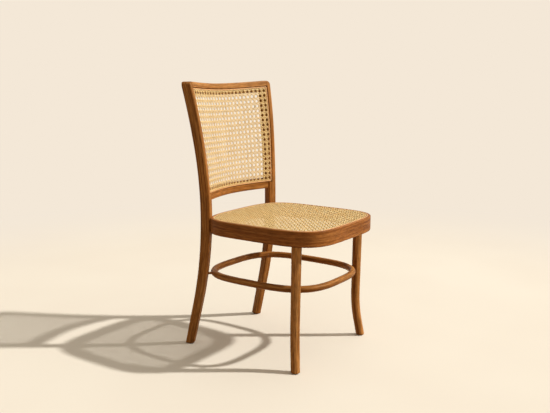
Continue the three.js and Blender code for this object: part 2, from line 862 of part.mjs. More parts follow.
const seatGrooveOuter = -seatGrooveInset;
const seatGrooveInner = seatGrooveOuter - grooveWidth;
const seatGrooveFloor = seatHeight - seatGrooveDepth;
const rimDiagonal = rimRounding * (1 - Math.SQRT1_2);
const ringBlank = hoop(seatOval, [
  [-apronEdgeRounding, apronBottom],
  [0, apronBottom + apronEdgeRounding],
  [0, seatHeight - rimRounding],
  [-rimDiagonal, seatHeight - rimDiagonal],
  [-rimRounding, seatHeight],
  [seatGrooveOuter, seatHeight],
  [seatGrooveOuter, seatGrooveFloor],
  [seatGrooveInner, seatGrooveFloor],
  [seatGrooveInner, caneLip],
  [apronEdgeRounding - apronWall, caneLip],
  [-apronWall, caneLip - apronEdgeRounding],
  [-apronWall, apronBottom + apronEdgeRounding],
  [apronEdgeRounding - apronWall, apronBottom],
], seatStations);

function tenonBore({ tenon }) {
  const heights = [apronBottom - overrun, apronBottom + tenonLength + fit];
  return skin(heights.map((z) => circle(tenon, tenonRadius + fit, z)), false);
}

addPiece('seat_ring', cut(ringBlank, [
  ...boltJoints.map(boltBore),
  ...frontJoints.map(tenonBore),
  ...frontJoints.flatMap((joint) => (
    blockScrewLines(joint).map((line) => blockScrew(joint, line, fit))
  )),
  ...frontJoints.map((joint) => blockScrew(joint, tenonScrewLine(joint), fit)),
]), apronBeech);

// Cane panel and spline of the seat

function seatGaps() {
  const gapRadius = caneGapShare * seatCanePitch / 2;
  const gaps = [];
  const reach = Math.ceil(seatDepth / seatCanePitch);
  const middleY = seatOval.widestY + (seatOval.rearReach - seatOval.frontReach) / 2;
  for (let row = -reach; row <= reach; row += 1) {
    for (let column = -reach; column <= reach; column += 1) {
      const x = column * seatCanePitch;
      const y = middleY + row * seatCanePitch;
      const gap = octagon(x, y, gapRadius, gapRadius);
      if (gap.every(([a, b]) => insideSeat(a, b, apronWall + caneMargin / 2))) gaps.push(gap);
    }
  }
  return gaps;
}

// Whether a place lies at least the given distance inside the seat's outline.
function insideSeat(x, y, inset) {
  const turn = nearestTurn(seatOval, x, y);
  const edge = ovalPoint(seatOval, turn);
  return new THREE.Vector3(x, y, 0).sub(edge).dot(ovalNormal(seatOval, turn)) < -inset;
}

const seatHemOut = seatGrooveInner + fit + hemThickness;
const seatHemIn = seatGrooveInner + fit;
const seatHemFloor = seatGrooveFloor + hemClearance;
const seatSheet = new THREE.Shape(Array.from({ length: seatStations }, (_, i) => {
  const edge = ovalOffset(seatOval, i / seatStations, seatHemOut, 0);
  return new THREE.Vector2(edge.x, edge.y);
}));
seatGaps().forEach((gap) => {
  seatSheet.holes.push(new THREE.Path(gap.map(([x, y]) => new THREE.Vector2(x, y))));
});
const seatSheetGeometry = new THREE.ExtrudeGeometry(seatSheet, {
  depth: caneThickness, bevelEnabled: false,
});
seatSheetGeometry.translate(0, 0, seatHeight - caneThickness);
const seatHem = hoop(seatOval, [
  [seatHemOut, seatHemFloor], [seatHemOut, seatHeight - caneThickness / 2],
  [seatHemIn, seatHeight - caneThickness / 2], [seatHemIn, seatHemFloor],
], seatStations);
addPiece('seat_cane_panel', toSolid(seatSheetGeometry).add(seatHem), caneStraw);

const seatSpline = splineSection(seatGrooveOuter - fit, seatGrooveFloor + fit, seatHeight + splineProud);
addPiece('seat_spline', hoop(seatOval, seatSpline, seatStations), reed);

// Front legs

function circle(centre, radius, z) {
  return steps(0, 1, frontLegSides).slice(1).map((turn) => new THREE.Vector3(
    centre.x + radius * Math.cos(2 * Math.PI * turn),
    centre.y + radius * Math.sin(2 * Math.PI * turn),
    z,
  ));
}

// The rows of a front leg between two heights, grown for a clearance.
function frontLegRows(sign, heights, grow) {
  return heights.map((z) => circle(frontLegCentre(sign, z), frontLegRadius(z) + grow, z));
}

function frontLeg({ sign, tenon }) {
  const top = apronBottom - fit;
  const heights = [...steps(footPlane, footSweepHeight, frontLegStations), top];
  return skin([
    ...frontLegRows(sign, heights, 0),
    circle(tenon, tenonRadius, top),
    circle(tenon, tenonRadius, apronBottom + tenonLength),
  ], false);
}

frontJoints.forEach((joint) => {
  addPiece(`front_leg_${joint.side}`, cut(frontLeg(joint), [
    ...stretcherJoints.map(stretcherScrewBore),
    ...feet.map((foot) => glide(foot, fit)),
    blockScrew(joint, tenonScrewLine(joint), fit),
  ]), oiledBeech);
});

// Corner blocks and their screws

// A block cut to the inside of the seat ring, with a flat back.
function cornerBlock({ turn }) {
  const turns = steps(turn - blockTurnShare, turn + blockTurnShare, blockStations);
  const outline = turns.map((at) => ovalOffset(seatOval, at, -apronWall / 2, 0));
  const middle = ovalNormal(seatOval, turn);
  const back = ovalOffset(seatOval, turn, blockBack, 0);
  [outline.at(-1), outline[0]].forEach((end) => {
    const drop = end.clone().sub(back).dot(middle);
    outline.push(end.clone().addScaledVector(middle, -drop));
  });
  const shape = new THREE.Shape(outline.map(({ x, y }) => new THREE.Vector2(x, y)));
  const geometry = new THREE.ExtrudeGeometry(shape, { depth: blockHeight, bevelEnabled: false });
  geometry.translate(0, 0, blockBottom);
  return toSolid(geometry).subtract(seatEnvelope);
}

frontJoints.forEach((joint) => {
  const screws = blockScrewLines(joint);
  const lock = tenonScrewLine(joint);
  const bores = [...screws, lock].map((line) => blockScrew(joint, line, fit));
  addPiece(`corner_block_${joint.side}`, cut(cornerBlock(joint), bores), paleBeech);
  screws.forEach((line) => {
    addPiece(`block_screw_${line.name}`, blockScrew(joint, line, 0), steel);
  });
  addPiece(`tenon_screw_${joint.side}`, blockScrew(joint, lock, 0), steel);
});

// Bolts, washers and insert nuts of the rear legs

boltJoints.forEach(({ name, from, direction }) => {
  addPiece(`rear_bolt_${name}`, turned([
    [0, boltStart - boltHeadHeight], [boltHeadRadius, boltStart - boltHeadHeight],
    [boltHeadRadius, boltStart], [boltRadius, boltStart],
    [boltRadius, boltStart + boltLength], [0, boltStart + boltLength],
  ], from, direction), steel);
  const washerStart = washerSeat - fit - washerThickness;
  addPiece(`bolt_washer_${name}`, tube(
    washerRadius, boltRadius + fit, from, direction, washerStart, washerStart + washerThickness,
  ), steel);
  addPiece(`insert_nut_${name}`, tube(
    insertRadius, boltRadius + fit, from, direction, 2 * fit, 2 * fit + insertLength,
  ), steel);
});

// Stretcher ring with its spacers and screws

const rodSection = steps(0, 1, stretcherSides).slice(1).map((turn) => [
  stretcherRadius * Math.cos(2 * Math.PI * turn),
  stretcherHeight + stretcherRadius * Math.sin(2 * Math.PI * turn),
]);
const stretcherBlank = hoop(stretcherOval, rodSection, stretcherStations);
addPiece('stretcher_ring', cut(stretcherBlank, stretcherJoints.map(stretcherScrewBore)), oiledBeech);

// The ring and the legs, grown for a clearance, trim each spacer to length.
const grownShare = (stretcherRadius + fit) / stretcherRadius;
const grownRing = hoop(stretcherOval, rodSection.map(([out, z]) => [
  out * grownShare, stretcherHeight + (z - stretcherHeight) * grownShare,
]), stretcherStations);
const spacerHeights = [stretcherHeight - apronHeight, stretcherHeight + apronHeight];
const grownLegs = corners.flatMap(({ sign }) => [
  legBlank(sign, fit), skin(frontLegRows(sign, spacerHeights, fit), false),
]);

stretcherJoints.forEach(({ name, from, direction, reach }) => {
  const blank = tube(spacerRadius, stretcherScrewRadius + fit, from, direction, 0, reach);
  addPiece(`stretcher_spacer_${name}`, cut(blank, [grownRing, ...grownLegs]), oiledBeech);
  const head = screwHeadSeat - fit;
  const tip = reach - stretcherRadius + stretcherScrewGrip;
  addPiece(`stretcher_screw_${name}`, turned([
    [0, head - stretcherScrewHead], [stretcherScrewHeadRadius, head - stretcherScrewHead],
    [stretcherScrewHeadRadius, head], [stretcherScrewRadius, head],
    [stretcherScrewRadius, tip - stretcherScrewRadius], [0, tip],
  ], from, direction), steel);
});

// Glides

feet.forEach((foot) => {
  addPiece(`glide_${foot.name}`, glide(foot, 0), glidePlastic);
});

export default chair;
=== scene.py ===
# %% [markdown]
# # A bentwood dining chair with an open cane seat and back
#
# The chair is rigid: two squared rear legs that run up as the uprights of a bowed back, two
# rails between them, a bent seat ring, two round front legs and a bent stretcher ring. Open
# octagonal cane fills the seat and the back. The frame gives exact places, and this lesson
# makes the smooth, grained and woven surfaces that stand on them. Lengths are millimetres
# until a mesh is made, while the camera, the lamps and the floor are placed in metres. x runs
# across, y from the front to the back, and z up.

# %% Load the frame
import math

import bpy
import numpy as np
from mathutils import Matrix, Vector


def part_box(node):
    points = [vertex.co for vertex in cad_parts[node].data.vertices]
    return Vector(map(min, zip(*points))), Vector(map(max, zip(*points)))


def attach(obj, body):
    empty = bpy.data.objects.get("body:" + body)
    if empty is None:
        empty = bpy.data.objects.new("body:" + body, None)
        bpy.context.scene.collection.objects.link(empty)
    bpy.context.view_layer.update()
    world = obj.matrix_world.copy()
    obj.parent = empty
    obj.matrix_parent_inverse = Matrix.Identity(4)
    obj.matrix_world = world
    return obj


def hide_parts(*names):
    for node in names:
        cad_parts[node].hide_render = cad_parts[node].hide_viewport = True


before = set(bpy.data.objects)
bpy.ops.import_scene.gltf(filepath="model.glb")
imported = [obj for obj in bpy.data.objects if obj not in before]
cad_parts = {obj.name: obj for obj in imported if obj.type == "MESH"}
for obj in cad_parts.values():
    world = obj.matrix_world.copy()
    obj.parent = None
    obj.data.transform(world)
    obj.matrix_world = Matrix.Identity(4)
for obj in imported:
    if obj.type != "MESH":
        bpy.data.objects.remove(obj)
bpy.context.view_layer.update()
scene = bpy.context.scene
print("pieces in the frame:", len(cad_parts))

# %% [markdown]
# ## Camera
# The camera stands in front of the chair and to its left, a little above the back's top, and
# looks down about ten degrees. It could be aimed by hand in the viewport, but typed values
# come out the same each time. It is placed first, so that every later step can be looked at.

# %% Place the camera
LOOKS_DOWN, LOOKS_ASIDE = 0.176, 0.966
eye = bpy.data.cameras.new("photo_camera")
eye.lens = 48.06
eye.sensor_width = 36.0
camera = bpy.data.objects.new("photo_camera", eye)
camera.location = (-2.0749, -1.4113, 0.9338)
camera.rotation_euler = (math.pi / 2 - LOOKS_DOWN, 0.0, -LOOKS_ASIDE)
scene.collection.objects.link(camera)
scene.camera = camera
scene.view_settings.view_transform = "Standard"
print("the camera stands", round(camera.location.length, 2), "m from the middle of the floor")

# %% [markdown]
# ## From a grid of points to a piece
# Almost every piece here is a section carried along a path: a rail, a hoop, a leg, a strand of
# cane. A bevelled curve could give the plainer ones, but it can't change its section on the
# way, and it forgets how the wood was bent. So each piece is worked out as a grid of points,
# rows along the path and columns round the section, and one maker turns the grid into a
# closed mesh. The maker also keeps, for each corner, where it lies in the uncut wood: along
# the grain and across it. The timber pattern reads that place, so the grain follows every
# bend, as it does in steamed wood.


# %% Faces of a closed grid
def tube_faces(rows, columns, loop):
    """Corner numbers of the quads between neighbours on a grid that closes round its columns."""
    i = np.arange(rows if loop else rows - 1)[:, None] + 0 * np.arange(columns)[None, :]
    j = np.arange(columns)[None, :] + 0 * i
    ahead, beside = (i + 1) % rows, (j + 1) % columns
    corners = [i * columns + j, i * columns + beside, ahead * columns + beside, ahead * columns + j]
    return np.stack(corners, axis=-1).reshape(-1, 4)


def joined(a, b, c):
    """Points or places (a, b, c), from three arrays that broadcast to one shape."""
    return np.stack(np.broadcast_arrays(a, b, c), axis=-1)


print("three rings of eight points have", len(tube_faces(3, 8, False)), "faces between them")

# %% Make a closed piece from grids
MM = 0.001
SHARP_FROM = math.radians(38)


def build(name, tubes, grain, material, stands_for, loop=False):
    """Meshes one tube [row, column, xyz], or many [tube, row, column, xyz], capped or looped.

    grain holds each corner's place in the wood; a loop has one row more of it than of points.
    Faces are turned over where the volume, the sum of a . (b x c + c x d), comes out negative.
    """
    tubes, grain = (part.reshape(-1, *part.shape[-3:]) for part in (tubes, grain))
    count, rows, columns, _ = tubes.shape
    quads = tube_faces(rows, columns, loop)
    caps = np.stack([np.arange(columns)[::-1], np.arange(columns) + (rows - 1) * columns])
    centred = (tubes[0] - tubes[0].mean(axis=(0, 1))).reshape(-1, 3)
    a, b, c, d = (centred[quads[:, k]] for k in range(4))
    inside_out = (a * (np.cross(b, c) + np.cross(c, d))).sum() < 0
    grain_quads = tube_faces(rows + 1, columns, False) if loop else quads
    if inside_out:
        quads, grain_quads, caps = quads[:, ::-1], grain_quads[:, ::-1], caps[:, ::-1]
    start = np.arange(count)[:, None, None]
    faces = (quads[None] + start * rows * columns).reshape(-1, 4).tolist()
    grain = grain.reshape(count, -1, 3)
    places = grain[:, grain_quads.ravel()].reshape(-1, 3)
    if not loop:
        faces += (caps[None] + start * rows * columns).reshape(-1, columns).tolist()
        places = np.concatenate([places, grain[:, caps.ravel()].reshape(-1, 3)])
    mesh = bpy.data.meshes.new(name)
    mesh.from_pydata((tubes.reshape(-1, 3) * MM).tolist(), [], faces)
    mesh.attributes.new("grain", "FLOAT_VECTOR", "CORNER")
    mesh.attributes["grain"].data.foreach_set("vector", (places * MM).astype(np.float32).ravel())
    mesh.shade_smooth()
    mesh.set_sharp_from_angle(angle=SHARP_FROM)
    mesh.materials.append(material)
    piece = bpy.data.objects.new(name, mesh)
    scene.collection.objects.link(piece)
    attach(piece, "root")
    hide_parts(*stands_for)
    print(name, "has", len(mesh.polygons), "faces")


# %% [markdown]
# ## Rounded sections
# A joiner takes the sharp corner off every edge. A Bevel modifier could do that on a finished
# block, but here the edges run along bends, so the corners are rounded in the outline before
# it is carried along. Each corner becomes a small arc with one more point on either side, so
# that the flat faces stay flat in the shading and only the edge catches the light.

# %% Round the corners of an outline
def filleted(corners, radii, beside=0.7, facets=5):
    """Turns each corner P on an arc about C = P + r(u + v), with u and v towards its neighbours.

    The arc's points are C - r(v cos t + u sin t) for t from nothing to a quarter turn.
    """
    corners = np.asarray(corners, float)
    r = np.broadcast_to(np.asarray(radii, float), corners.shape[:-1])[..., None, None]
    before = np.roll(corners, 1, axis=-2) - corners
    after = np.roll(corners, -1, axis=-2) - corners
    u = (before / np.linalg.norm(before, axis=-1, keepdims=True))[..., None, :]
    v = (after / np.linalg.norm(after, axis=-1, keepdims=True))[..., None, :]
    at = corners[..., None, :]
    t = np.linspace(0, np.pi / 2, facets + 1)[:, None]
    arc = at + r * (u + v) - r * (v * np.cos(t) + u * np.sin(t))
    rounded = np.concatenate([at + (r + beside) * u, arc, at + (r + beside) * v], axis=-2)
    return rounded.reshape(*corners.shape[:-2], -1, 2)


rounded_square = filleted([(0, 0), (0, 9), (9, 9), (9, 0)], 2)
print("a square with rounded corners has", len(rounded_square), "points")

# %% [markdown]
# ## Materials from noise
# Every finish here is a small graph of nodes: noise is stretched, turned into tones, and laid
# over a ground colour. A picture of wood would be quicker, but it repeats and has a fixed
# size. A few helpers keep each graph short: one adds a node, one stretches noise, and others
# make ramps, mixes, shades and dents.


# %% Add nodes and stretched noise
def node(tree, kind, **values):
    """Adds a node, setting attributes by name and inputs where the name is not an attribute."""
    made = tree.nodes.new(kind)
    for key, value in values.items():
        if hasattr(made, key):
            setattr(made, key, value)
        else:
            made.inputs[key].default_value = value
    return made


def stretched_noise(tree, place, stretch, detail, distortion=0.0):
    """Noise over the place scaled by stretch, so that it runs long where stretch is small."""
    mapping = node(tree, "ShaderNodeMapping", Scale=stretch)
    tree.links.new(place, mapping.inputs["Vector"])
    noise = node(tree, "ShaderNodeTexNoise", Scale=1.0, Detail=detail, Roughness=0.55,
                 Distortion=distortion)
    tree.links.new(mapping.outputs["Vector"], noise.inputs["Vector"])
    return noise.outputs["Fac"]


# %% Ramps, steps and mixes
def ramp(tree, factor, stops):
    """A colour ramp through (position, colour) stops."""
    made = node(tree, "ShaderNodeValToRGB")
    made.color_ramp.elements[0].position, made.color_ramp.elements[0].color = stops[0]
    made.color_ramp.elements[1].position, made.color_ramp.elements[1].color = stops[-1]
    for position, colour in stops[1:-1]:
        made.color_ramp.elements.new(position).color = colour
    tree.links.new(factor, made.inputs["Fac"])
    return made.outputs["Color"]


def smooth_step(tree, value, start, stop, low=0.0, high=1.0):
    """Eases from low to high while the value goes from start to stop."""
    made = node(tree, "ShaderNodeMapRange", interpolation_type="SMOOTHSTEP")
    for bound, number in (("From Min", start), ("From Max", stop), ("To Min", low), ("To Max", high)):
        made.inputs[bound].default_value = number
    tree.links.new(value, made.inputs["Value"])
    return made.outputs["Result"]


def tinted(tree, kind, factor, first, second):
    """Mixes two colours; the factor and each colour may be a socket or a fixed value.

    The node has sockets for several types; its colours are inputs 6 and 7 and output 2.
    """
    made = node(tree, "ShaderNodeMix", data_type="RGBA", blend_type=kind)
    inputs = made.inputs["Factor"], made.inputs[6], made.inputs[7]
    for socket, value in zip(inputs, (factor, first, second)):
        if isinstance(value, bpy.types.NodeSocket):
            tree.links.new(value, socket)
        else:
            socket.default_value = value
    return made.outputs[2]


def grey(level):
    """A grey as a colour with alpha."""
    return (level, level, level, 1.0)


def darker(colour, share):
    """The same hue at a share of its strength."""
    return [share * channel for channel in colour]


def two_tones(tree, factor, low, high):
    """A ramp between two (position, grey) stops."""
    return ramp(tree, factor, [(low[0], grey(low[1])), (high[0], grey(high[1]))])


print("a middle grey is written as", grey(0.5))


# %% A bare material, its dents and its place
def dented(tree, shader, height, strength, depth):
    """Lets a pattern dent the surface by up to a depth in metres."""
    bump = node(tree, "ShaderNodeBump", Strength=strength, Distance=depth)
    tree.links.new(height, bump.inputs["Height"])
    tree.links.new(bump.outputs["Normal"], shader.inputs["Normal"])


def new_material(name, roughness, metallic=0.0):
    """A material with a bare principled shader, and the tree and shader to build on."""
    material = bpy.data.materials.new(name)
    material.use_nodes = True
    shader = material.node_tree.nodes["Principled BSDF"]
    shader.inputs["Roughness"].default_value = roughness
    shader.inputs["Metallic"].default_value = metallic
    return material, material.node_tree, shader


def kept_grain(tree):
    """The place in the uncut wood, which the maker of pieces keeps for every corner."""
    return node(tree, "ShaderNodeAttribute", attribute_name="grain").outputs["Vector"]


def object_place(tree):
    """The place in the object's own coordinates, for straight pieces."""
    return node(tree, "ShaderNodeTexCoord").outputs["Object"]


# %% [markdown]
# ## Timber
# The wood is oiled beech: a tan ground, darker long streaks from the growth rings, fine
# fibres, flecks, and short dark pores that also dent the surface. Each is a noise stretched
# along the grain, because real figure comes from the same fibres seen at different scales.
# The frame of the back, its top rail, the front legs and the seat ring share one recipe with
# small changes of tone. The top rail and the front legs are lighter copies, painted light where
# more light falls on them; the seat ring is a darker copy.


# %% Mix the timbers
def timber(name, light, middle, dark, place_in=kept_grain, roughness=0.42):
    """Wood in three tones. Each noise has so many waves a metre along, out and deep."""
    material, tree, shader = new_material(name, roughness)
    place = place_in(tree)
    streak = stretched_noise(tree, place, (3.5, 150, 150), 3.0, 0.6)
    patch = stretched_noise(tree, place, (2.2, 22, 22), 2.0)
    fibre = stretched_noise(tree, place, (26, 900, 900), 2.0)
    fleck = stretched_noise(tree, place, (30, 340, 340), 2.0)
    pore = stretched_noise(tree, place, (70, 1500, 1500), 1.0)
    open_pore = two_tones(tree, pore, (0.60, 1.0), (0.70, 0.50))
    ground = ramp(tree, streak, [(0.30, (*dark, 1)), (0.48, (*middle, 1)), (0.68, (*light, 1))])
    for strength, shade in (
        (0.85, two_tones(tree, patch, (0.32, 0.78), (0.66, 1.14))),
        (0.60, two_tones(tree, fibre, (0.30, 0.72), (0.62, 1.06))),
        (0.80, two_tones(tree, fleck, (0.38, 0.60), (0.60, 1.10))),
        (0.75, open_pore),
    ):
        ground = tinted(tree, "MULTIPLY", strength, ground, shade)
    tree.links.new(ground, shader.inputs["Base Color"])
    gloss = two_tones(tree, fibre, (0.30, roughness + 0.12), (0.70, roughness - 0.05))
    tree.links.new(gloss, shader.inputs["Roughness"])
    dented(tree, shader, open_pore, strength=0.35, depth=0.0004)
    shader.inputs["Specular IOR Level"].default_value = 0.08
    return material


back_timber = timber("oiled_back_frame",
                     (0.56, 0.258, 0.074), (0.385, 0.150, 0.033), (0.19, 0.058, 0.008))
# A lighter copy: painted light where more light falls on the top rail.
lit_rail_timber = timber("oiled_top_rail_painted_lighter",
                     (0.66, 0.325, 0.107), (0.47, 0.204, 0.054), (0.25, 0.088, 0.018))
# A lighter copy: painted light on the front legs.
lit_leg_timber = timber("oiled_front_legs_painted_lighter",
                    (0.68, 0.335, 0.110), (0.48, 0.200, 0.050), (0.24, 0.079, 0.014))
ring_timber = timber("oiled_seat_ring",
                     (0.47, 0.189, 0.050), (0.36, 0.127, 0.029), (0.245, 0.077, 0.014))
print("timbers:", back_timber.name, lit_rail_timber.name, lit_leg_timber.name, ring_timber.name)

# %% [markdown]
# ## The line of the rear legs
# A rear leg is one long stick. Seen from the side it rakes back below the seat and leans back
# above it; seen from in front it splays out both ways from a waist at the seat. Each lean is
# an arc that runs on as a straight, given as the arc's radius and length. A spline through
# hand-set points would look alike, but an arc is what the bending form gives.

# %% The lean of a rear leg
CHAIR_DEPTH, BACK_HEIGHT = 564.3, 916.0
SEAT_FRONT = -CHAIR_DEPTH / 2
WAIST_HALF, WAIST_HEIGHT, WAIST_FROM_FRONT, BELLY_HEIGHT = 189.0, 460.0, 457.9, 470.0
SPREAD, SPLAY = (2620.0, 246.0), (10070.0, 288.0)
RECLINE, RAKE = (2020.0, 418.0), (1300.0, 318.0)
NUDGE = 0.5


def eased(distance, radius, arc):
    """How far a stick has leaned: d squared over 2r on its arc, then straight on at that slope."""
    run = np.maximum(distance, 0.0)
    bent = np.minimum(run, arc)
    return bent**2 / (2 * radius) + (run - bent) * arc / radius


def upright_x(z):
    """Half the distance between the uprights' middles: the waist, and a lean outwards from it."""
    return WAIST_HALF + eased(z - WAIST_HEIGHT, *SPREAD) + eased(WAIST_HEIGHT - z, *SPLAY)


def upright_y(z):
    """The uprights' middle line seen from the side: the belly, and a lean to the rear from it."""
    lean = eased(z - BELLY_HEIGHT, *RECLINE) + eased(BELLY_HEIGHT - z, *RAKE)
    return SEAT_FRONT + WAIST_FROM_FRONT + lean


def lean_at(z):
    """The slope of that line: the change of y over a small nudge of z both ways."""
    return (upright_y(z + NUDGE) - upright_y(z - NUDGE)) / (2 * NUDGE)


print("the uprights stand", round(2 * float(upright_x(BACK_HEIGHT))), "mm apart at the top")

# %% [markdown]
# ## The surface of the back
# Between the two uprights the back bows away from the sitter on a cosine, square to the lean.
# Each piece could be bent by a modifier of its own, but then they would drift apart where
# they meet. So everything in the back is placed on one surface: across, up, and so far in
# front of it or behind it.

# %% The surface of the back
BOW, LEVEL_FROM, LEVEL_FOOT = 42.0, 888.0, 60.0


def back_surface(x, z):
    """The middle surface: the upright's line plus a cosine bow of BOW, square to the lean."""
    lean = lean_at(z)
    bow = BOW * np.cos(np.pi / 2 * x / upright_x(z)) / np.hypot(1, lean)
    return joined(x, upright_y(z) + bow, z - bow * lean)


def back_point(x, z, depth, level=0.0):
    """A place on the back's surface, moved square to it by depth.

    level turns the section from square to the stick, at 0, to level with the floor, at 1.
    """
    z = z + depth * lean_at(z) / np.hypot(1, lean_at(z)) * level
    run_across = back_surface(x + NUDGE, z) - back_surface(x - NUDGE, z)
    run_up = back_surface(x, z + NUDGE) - back_surface(x, z - NUDGE)
    square = np.cross(run_up, run_across)
    square /= np.linalg.norm(square, axis=-1, keepdims=True)
    return back_surface(x, z) + square * np.asarray(depth)[..., None]


def levelled(z):
    """How level a section is: rising from 0 to 1 through the top rail, and again at the foot."""
    top = np.clip((z - LEVEL_FROM) / (BACK_HEIGHT - LEVEL_FROM), 0, 1)
    return top + np.clip(1 - z / LEVEL_FOOT, 0, 1)


print("the middle of the back bows", BOW, "mm behind the uprights")

# %% [markdown]
# ## Rear legs
# The leg tapers to the foot. Between the rails its inner front corner is cut back in a
# rebate, which leaves a raised band along the outer edge and a ledge behind the cane. At the
# top the corner is rounded over, and a shoulder lets the top rail in. Booleans could cut all
# that from a plain stick, but they leave long thin faces that shade badly. So all of it is
# one outline of six corners whose places change with the height, and the leg stays one skin.

# %% The outline of a rear leg
HALF_WIDTH, HALF_DEPTH = 14.5, 17.0
FOOT_HALF_WIDTH, FOOT_HALF_DEPTH, TAPER_TOP = 12.0, 14.5, 420.0
FOOT_PLANE, FOOT_ROUND, TOP_ROUND, EDGE_ROUND = 2.8, 1.6, 18.0, 5.0
FIT, SHOULDER, TOP_RAIL_UNDER = 0.3, -4.0, 877.0
RECESS_BOTTOM, BAND_UNDER, BAND_EDGE, LIP = 540.4, 895.8, -1.5, -7.6
LOW_RAIL_TOP, LEDGE_EDGE, LEDGE_ROUND = 555.0, -21.5, 3.0
LIP_ROUND, BAND_ROOT, BAND_ROUND = 1.2, 0.4, 1.1
# Shares of the leg's width: where its two spare corners lie, how small their arcs are, how
# large the outer arcs may grow, and how far the points beside an arc stand off.
SPARE_FROM, SPARE_TO, SPARE_ROUND, MOST_ROUND, BESIDE = 0.5, 0.6, 0.04, 0.34, 0.02


def drawn_in(rise, radius):
    """How far a quarter circle has drawn in at a rise: r - sqrt(r squared - rise squared)."""
    return radius - np.sqrt(np.maximum(radius**2 - np.clip(rise, 0, radius) ** 2, 0))


def leg_outline(z):
    """Six corners of the leg's section and their radii at each height.

    The foot's half sizes grow to the seat's in proportion to the height. Where there is no
    rebate, its two corners lie spare in the flat face, at shares of the leg's width.
    """
    share = np.clip(z / TAPER_TOP, 0, 1)
    worn = drawn_in(FOOT_PLANE + FOOT_ROUND - z, FOOT_ROUND)
    half_width = FOOT_HALF_WIDTH + (HALF_WIDTH - FOOT_HALF_WIDTH) * share - worn
    half_depth = FOOT_HALF_DEPTH + (HALF_DEPTH - FOOT_HALF_DEPTH) * share - worn
    half_depth = half_depth - drawn_in(z - BACK_HEIGHT + EDGE_ROUND, EDGE_ROUND)
    rebated = (z > RECESS_BOTTOM) & (z < BAND_UNDER)
    shouldered, ledged = z > TOP_RAIL_UNDER - FIT, z > LOW_RAIL_TOP
    outer = half_width - drawn_in(z - BACK_HEIGHT + TOP_ROUND, TOP_ROUND)
    inner = np.where(shouldered, SHOULDER, np.where(ledged, LEDGE_EDGE, -half_width))
    width = outer - inner
    face = np.where(rebated, LIP, -half_depth)
    corners = np.stack([
        np.stack([outer, -half_depth], -1),
        np.stack([outer, half_depth], -1),
        np.stack([inner, half_depth], -1),
        np.stack([inner, face], -1),
        np.stack([np.where(rebated, BAND_EDGE, inner + SPARE_FROM * width), face], -1),
        np.stack([np.where(rebated, BAND_EDGE, inner + SPARE_TO * width), -half_depth], -1),
    ], axis=-2)
    small = SPARE_ROUND * width
    round_outer = np.minimum(EDGE_ROUND, MOST_ROUND * width)
    round_inner = np.where(shouldered, small, np.where(ledged, LEDGE_ROUND, EDGE_ROUND))
    radii = np.stack([
        round_outer, round_outer, round_inner,
        np.where(rebated, np.minimum(LIP_ROUND, round_inner), round_inner),
        np.where(rebated, BAND_ROOT, small), np.where(rebated, BAND_ROUND, small),
    ], axis=-1)
    return filleted(corners, radii, beside=BESIDE * width[:, None, None, None])


print("the leg is", 2 * HALF_WIDTH, "by", 2 * HALF_DEPTH, "mm at the seat")

# %% [markdown]
# ### The rows of a rear leg
# The outline changes in a step at four heights: where the recess begins, where the ledge
# widens, at the shoulder, and where the band closes. A row just under each step and one just
# over it keep the step crisp. Loop cuts would do that by hand.

# %% Make the rear legs
STEP_GAP, FIRST_ROW = 0.06, 8
LEDGE_ROWS, SHOULDER_ROWS, BAND_ROW = (545, 550), (882, LEVEL_FROM, 892), 897
# The rounding of the top begins at TURN_FROM. The right leg is cut so far along and across
# from the middle of the uncut wood, and the left one as far the other way.
TURN_FROM, ALONG_AWAY, ACROSS_AWAY = 0.13, 900, 60


def carried_up(sign, z, out, depth):
    """Rows up an upright: out from its middle line, and depth square to the back's surface."""
    return back_point(sign * (upright_x(z) + out), z + 0 * out, depth + 0 * z, levelled(z))


shoulder_z = TOP_RAIL_UNDER - FIT
leg_z = np.unique(np.concatenate([
    FOOT_PLANE + FOOT_ROUND * (1 - np.cos(np.linspace(0, np.pi / 2, 6))),
    np.linspace(FIRST_ROW, RECESS_BOTTOM - STEP_GAP, 84),
    [RECESS_BOTTOM + STEP_GAP, *LEDGE_ROWS, LOW_RAIL_TOP - STEP_GAP],
    np.linspace(LOW_RAIL_TOP + STEP_GAP, shoulder_z - STEP_GAP, 56),
    [shoulder_z + STEP_GAP, *SHOULDER_ROWS, BAND_UNDER - STEP_GAP],
    [BAND_UNDER + STEP_GAP, BAND_ROW],
    BACK_HEIGHT - TOP_ROUND * (1 - np.sin(np.linspace(TURN_FROM, np.pi / 2, 18))),
]))
outline = leg_outline(leg_z)
out, depth, z = outline[..., 0], outline[..., 1], leg_z[:, None]
for side, sign in (("left", -1), ("right", 1)):
    grain = joined(z + ALONG_AWAY * sign, out + ACROSS_AWAY * sign, depth)
    build(f"rear_leg_smooth_{side}", carried_up(sign, z, out, depth), grain, back_timber,
          [f"rear_leg_{side}"])

# %% [markdown]
# ## Rails of the back
# The top rail carries the same rebate along its lower front edge. The face of the lower rail
# steps back at the recess into a ledge, which stands behind the cane's lowest row. Both
# follow the bow from upright to upright, so a (height, depth) outline is carried over the
# back's own surface, and nothing has to be bent afterwards.

# %% Make the rails
LOW_RAIL_UNDER, LOW_RAIL_FACE = 516.0, -11.6
LOW_RAIL_ROUND, LEDGE_TOP_ROUND, FACE_TOP_ROUND = 4.0, 2.0, 0.8
across = np.linspace(-1, 1, 81)[:, None]


def carried_across(height, depth, end):
    """Rows across the back, to end beyond the uprights' middle lines, with each row's x."""
    x = across * (upright_x(height) + end)
    return x, back_point(x, height + 0 * x, depth + 0 * x, levelled(height))


def rail(name, corners, radii, end, shift, wood):
    """Carries the rounded (height, depth) outline across the back.

    shift moves the piece in the wood, so that no two rails show the same figure.
    """
    height, depth = filleted(corners, radii).T[:, None]
    x, points = carried_across(height, depth, end)
    grain = joined(x + shift, height - corners[0][0], depth + shift / 7)
    build(f"{name}_smooth", points, grain, wood, [name])


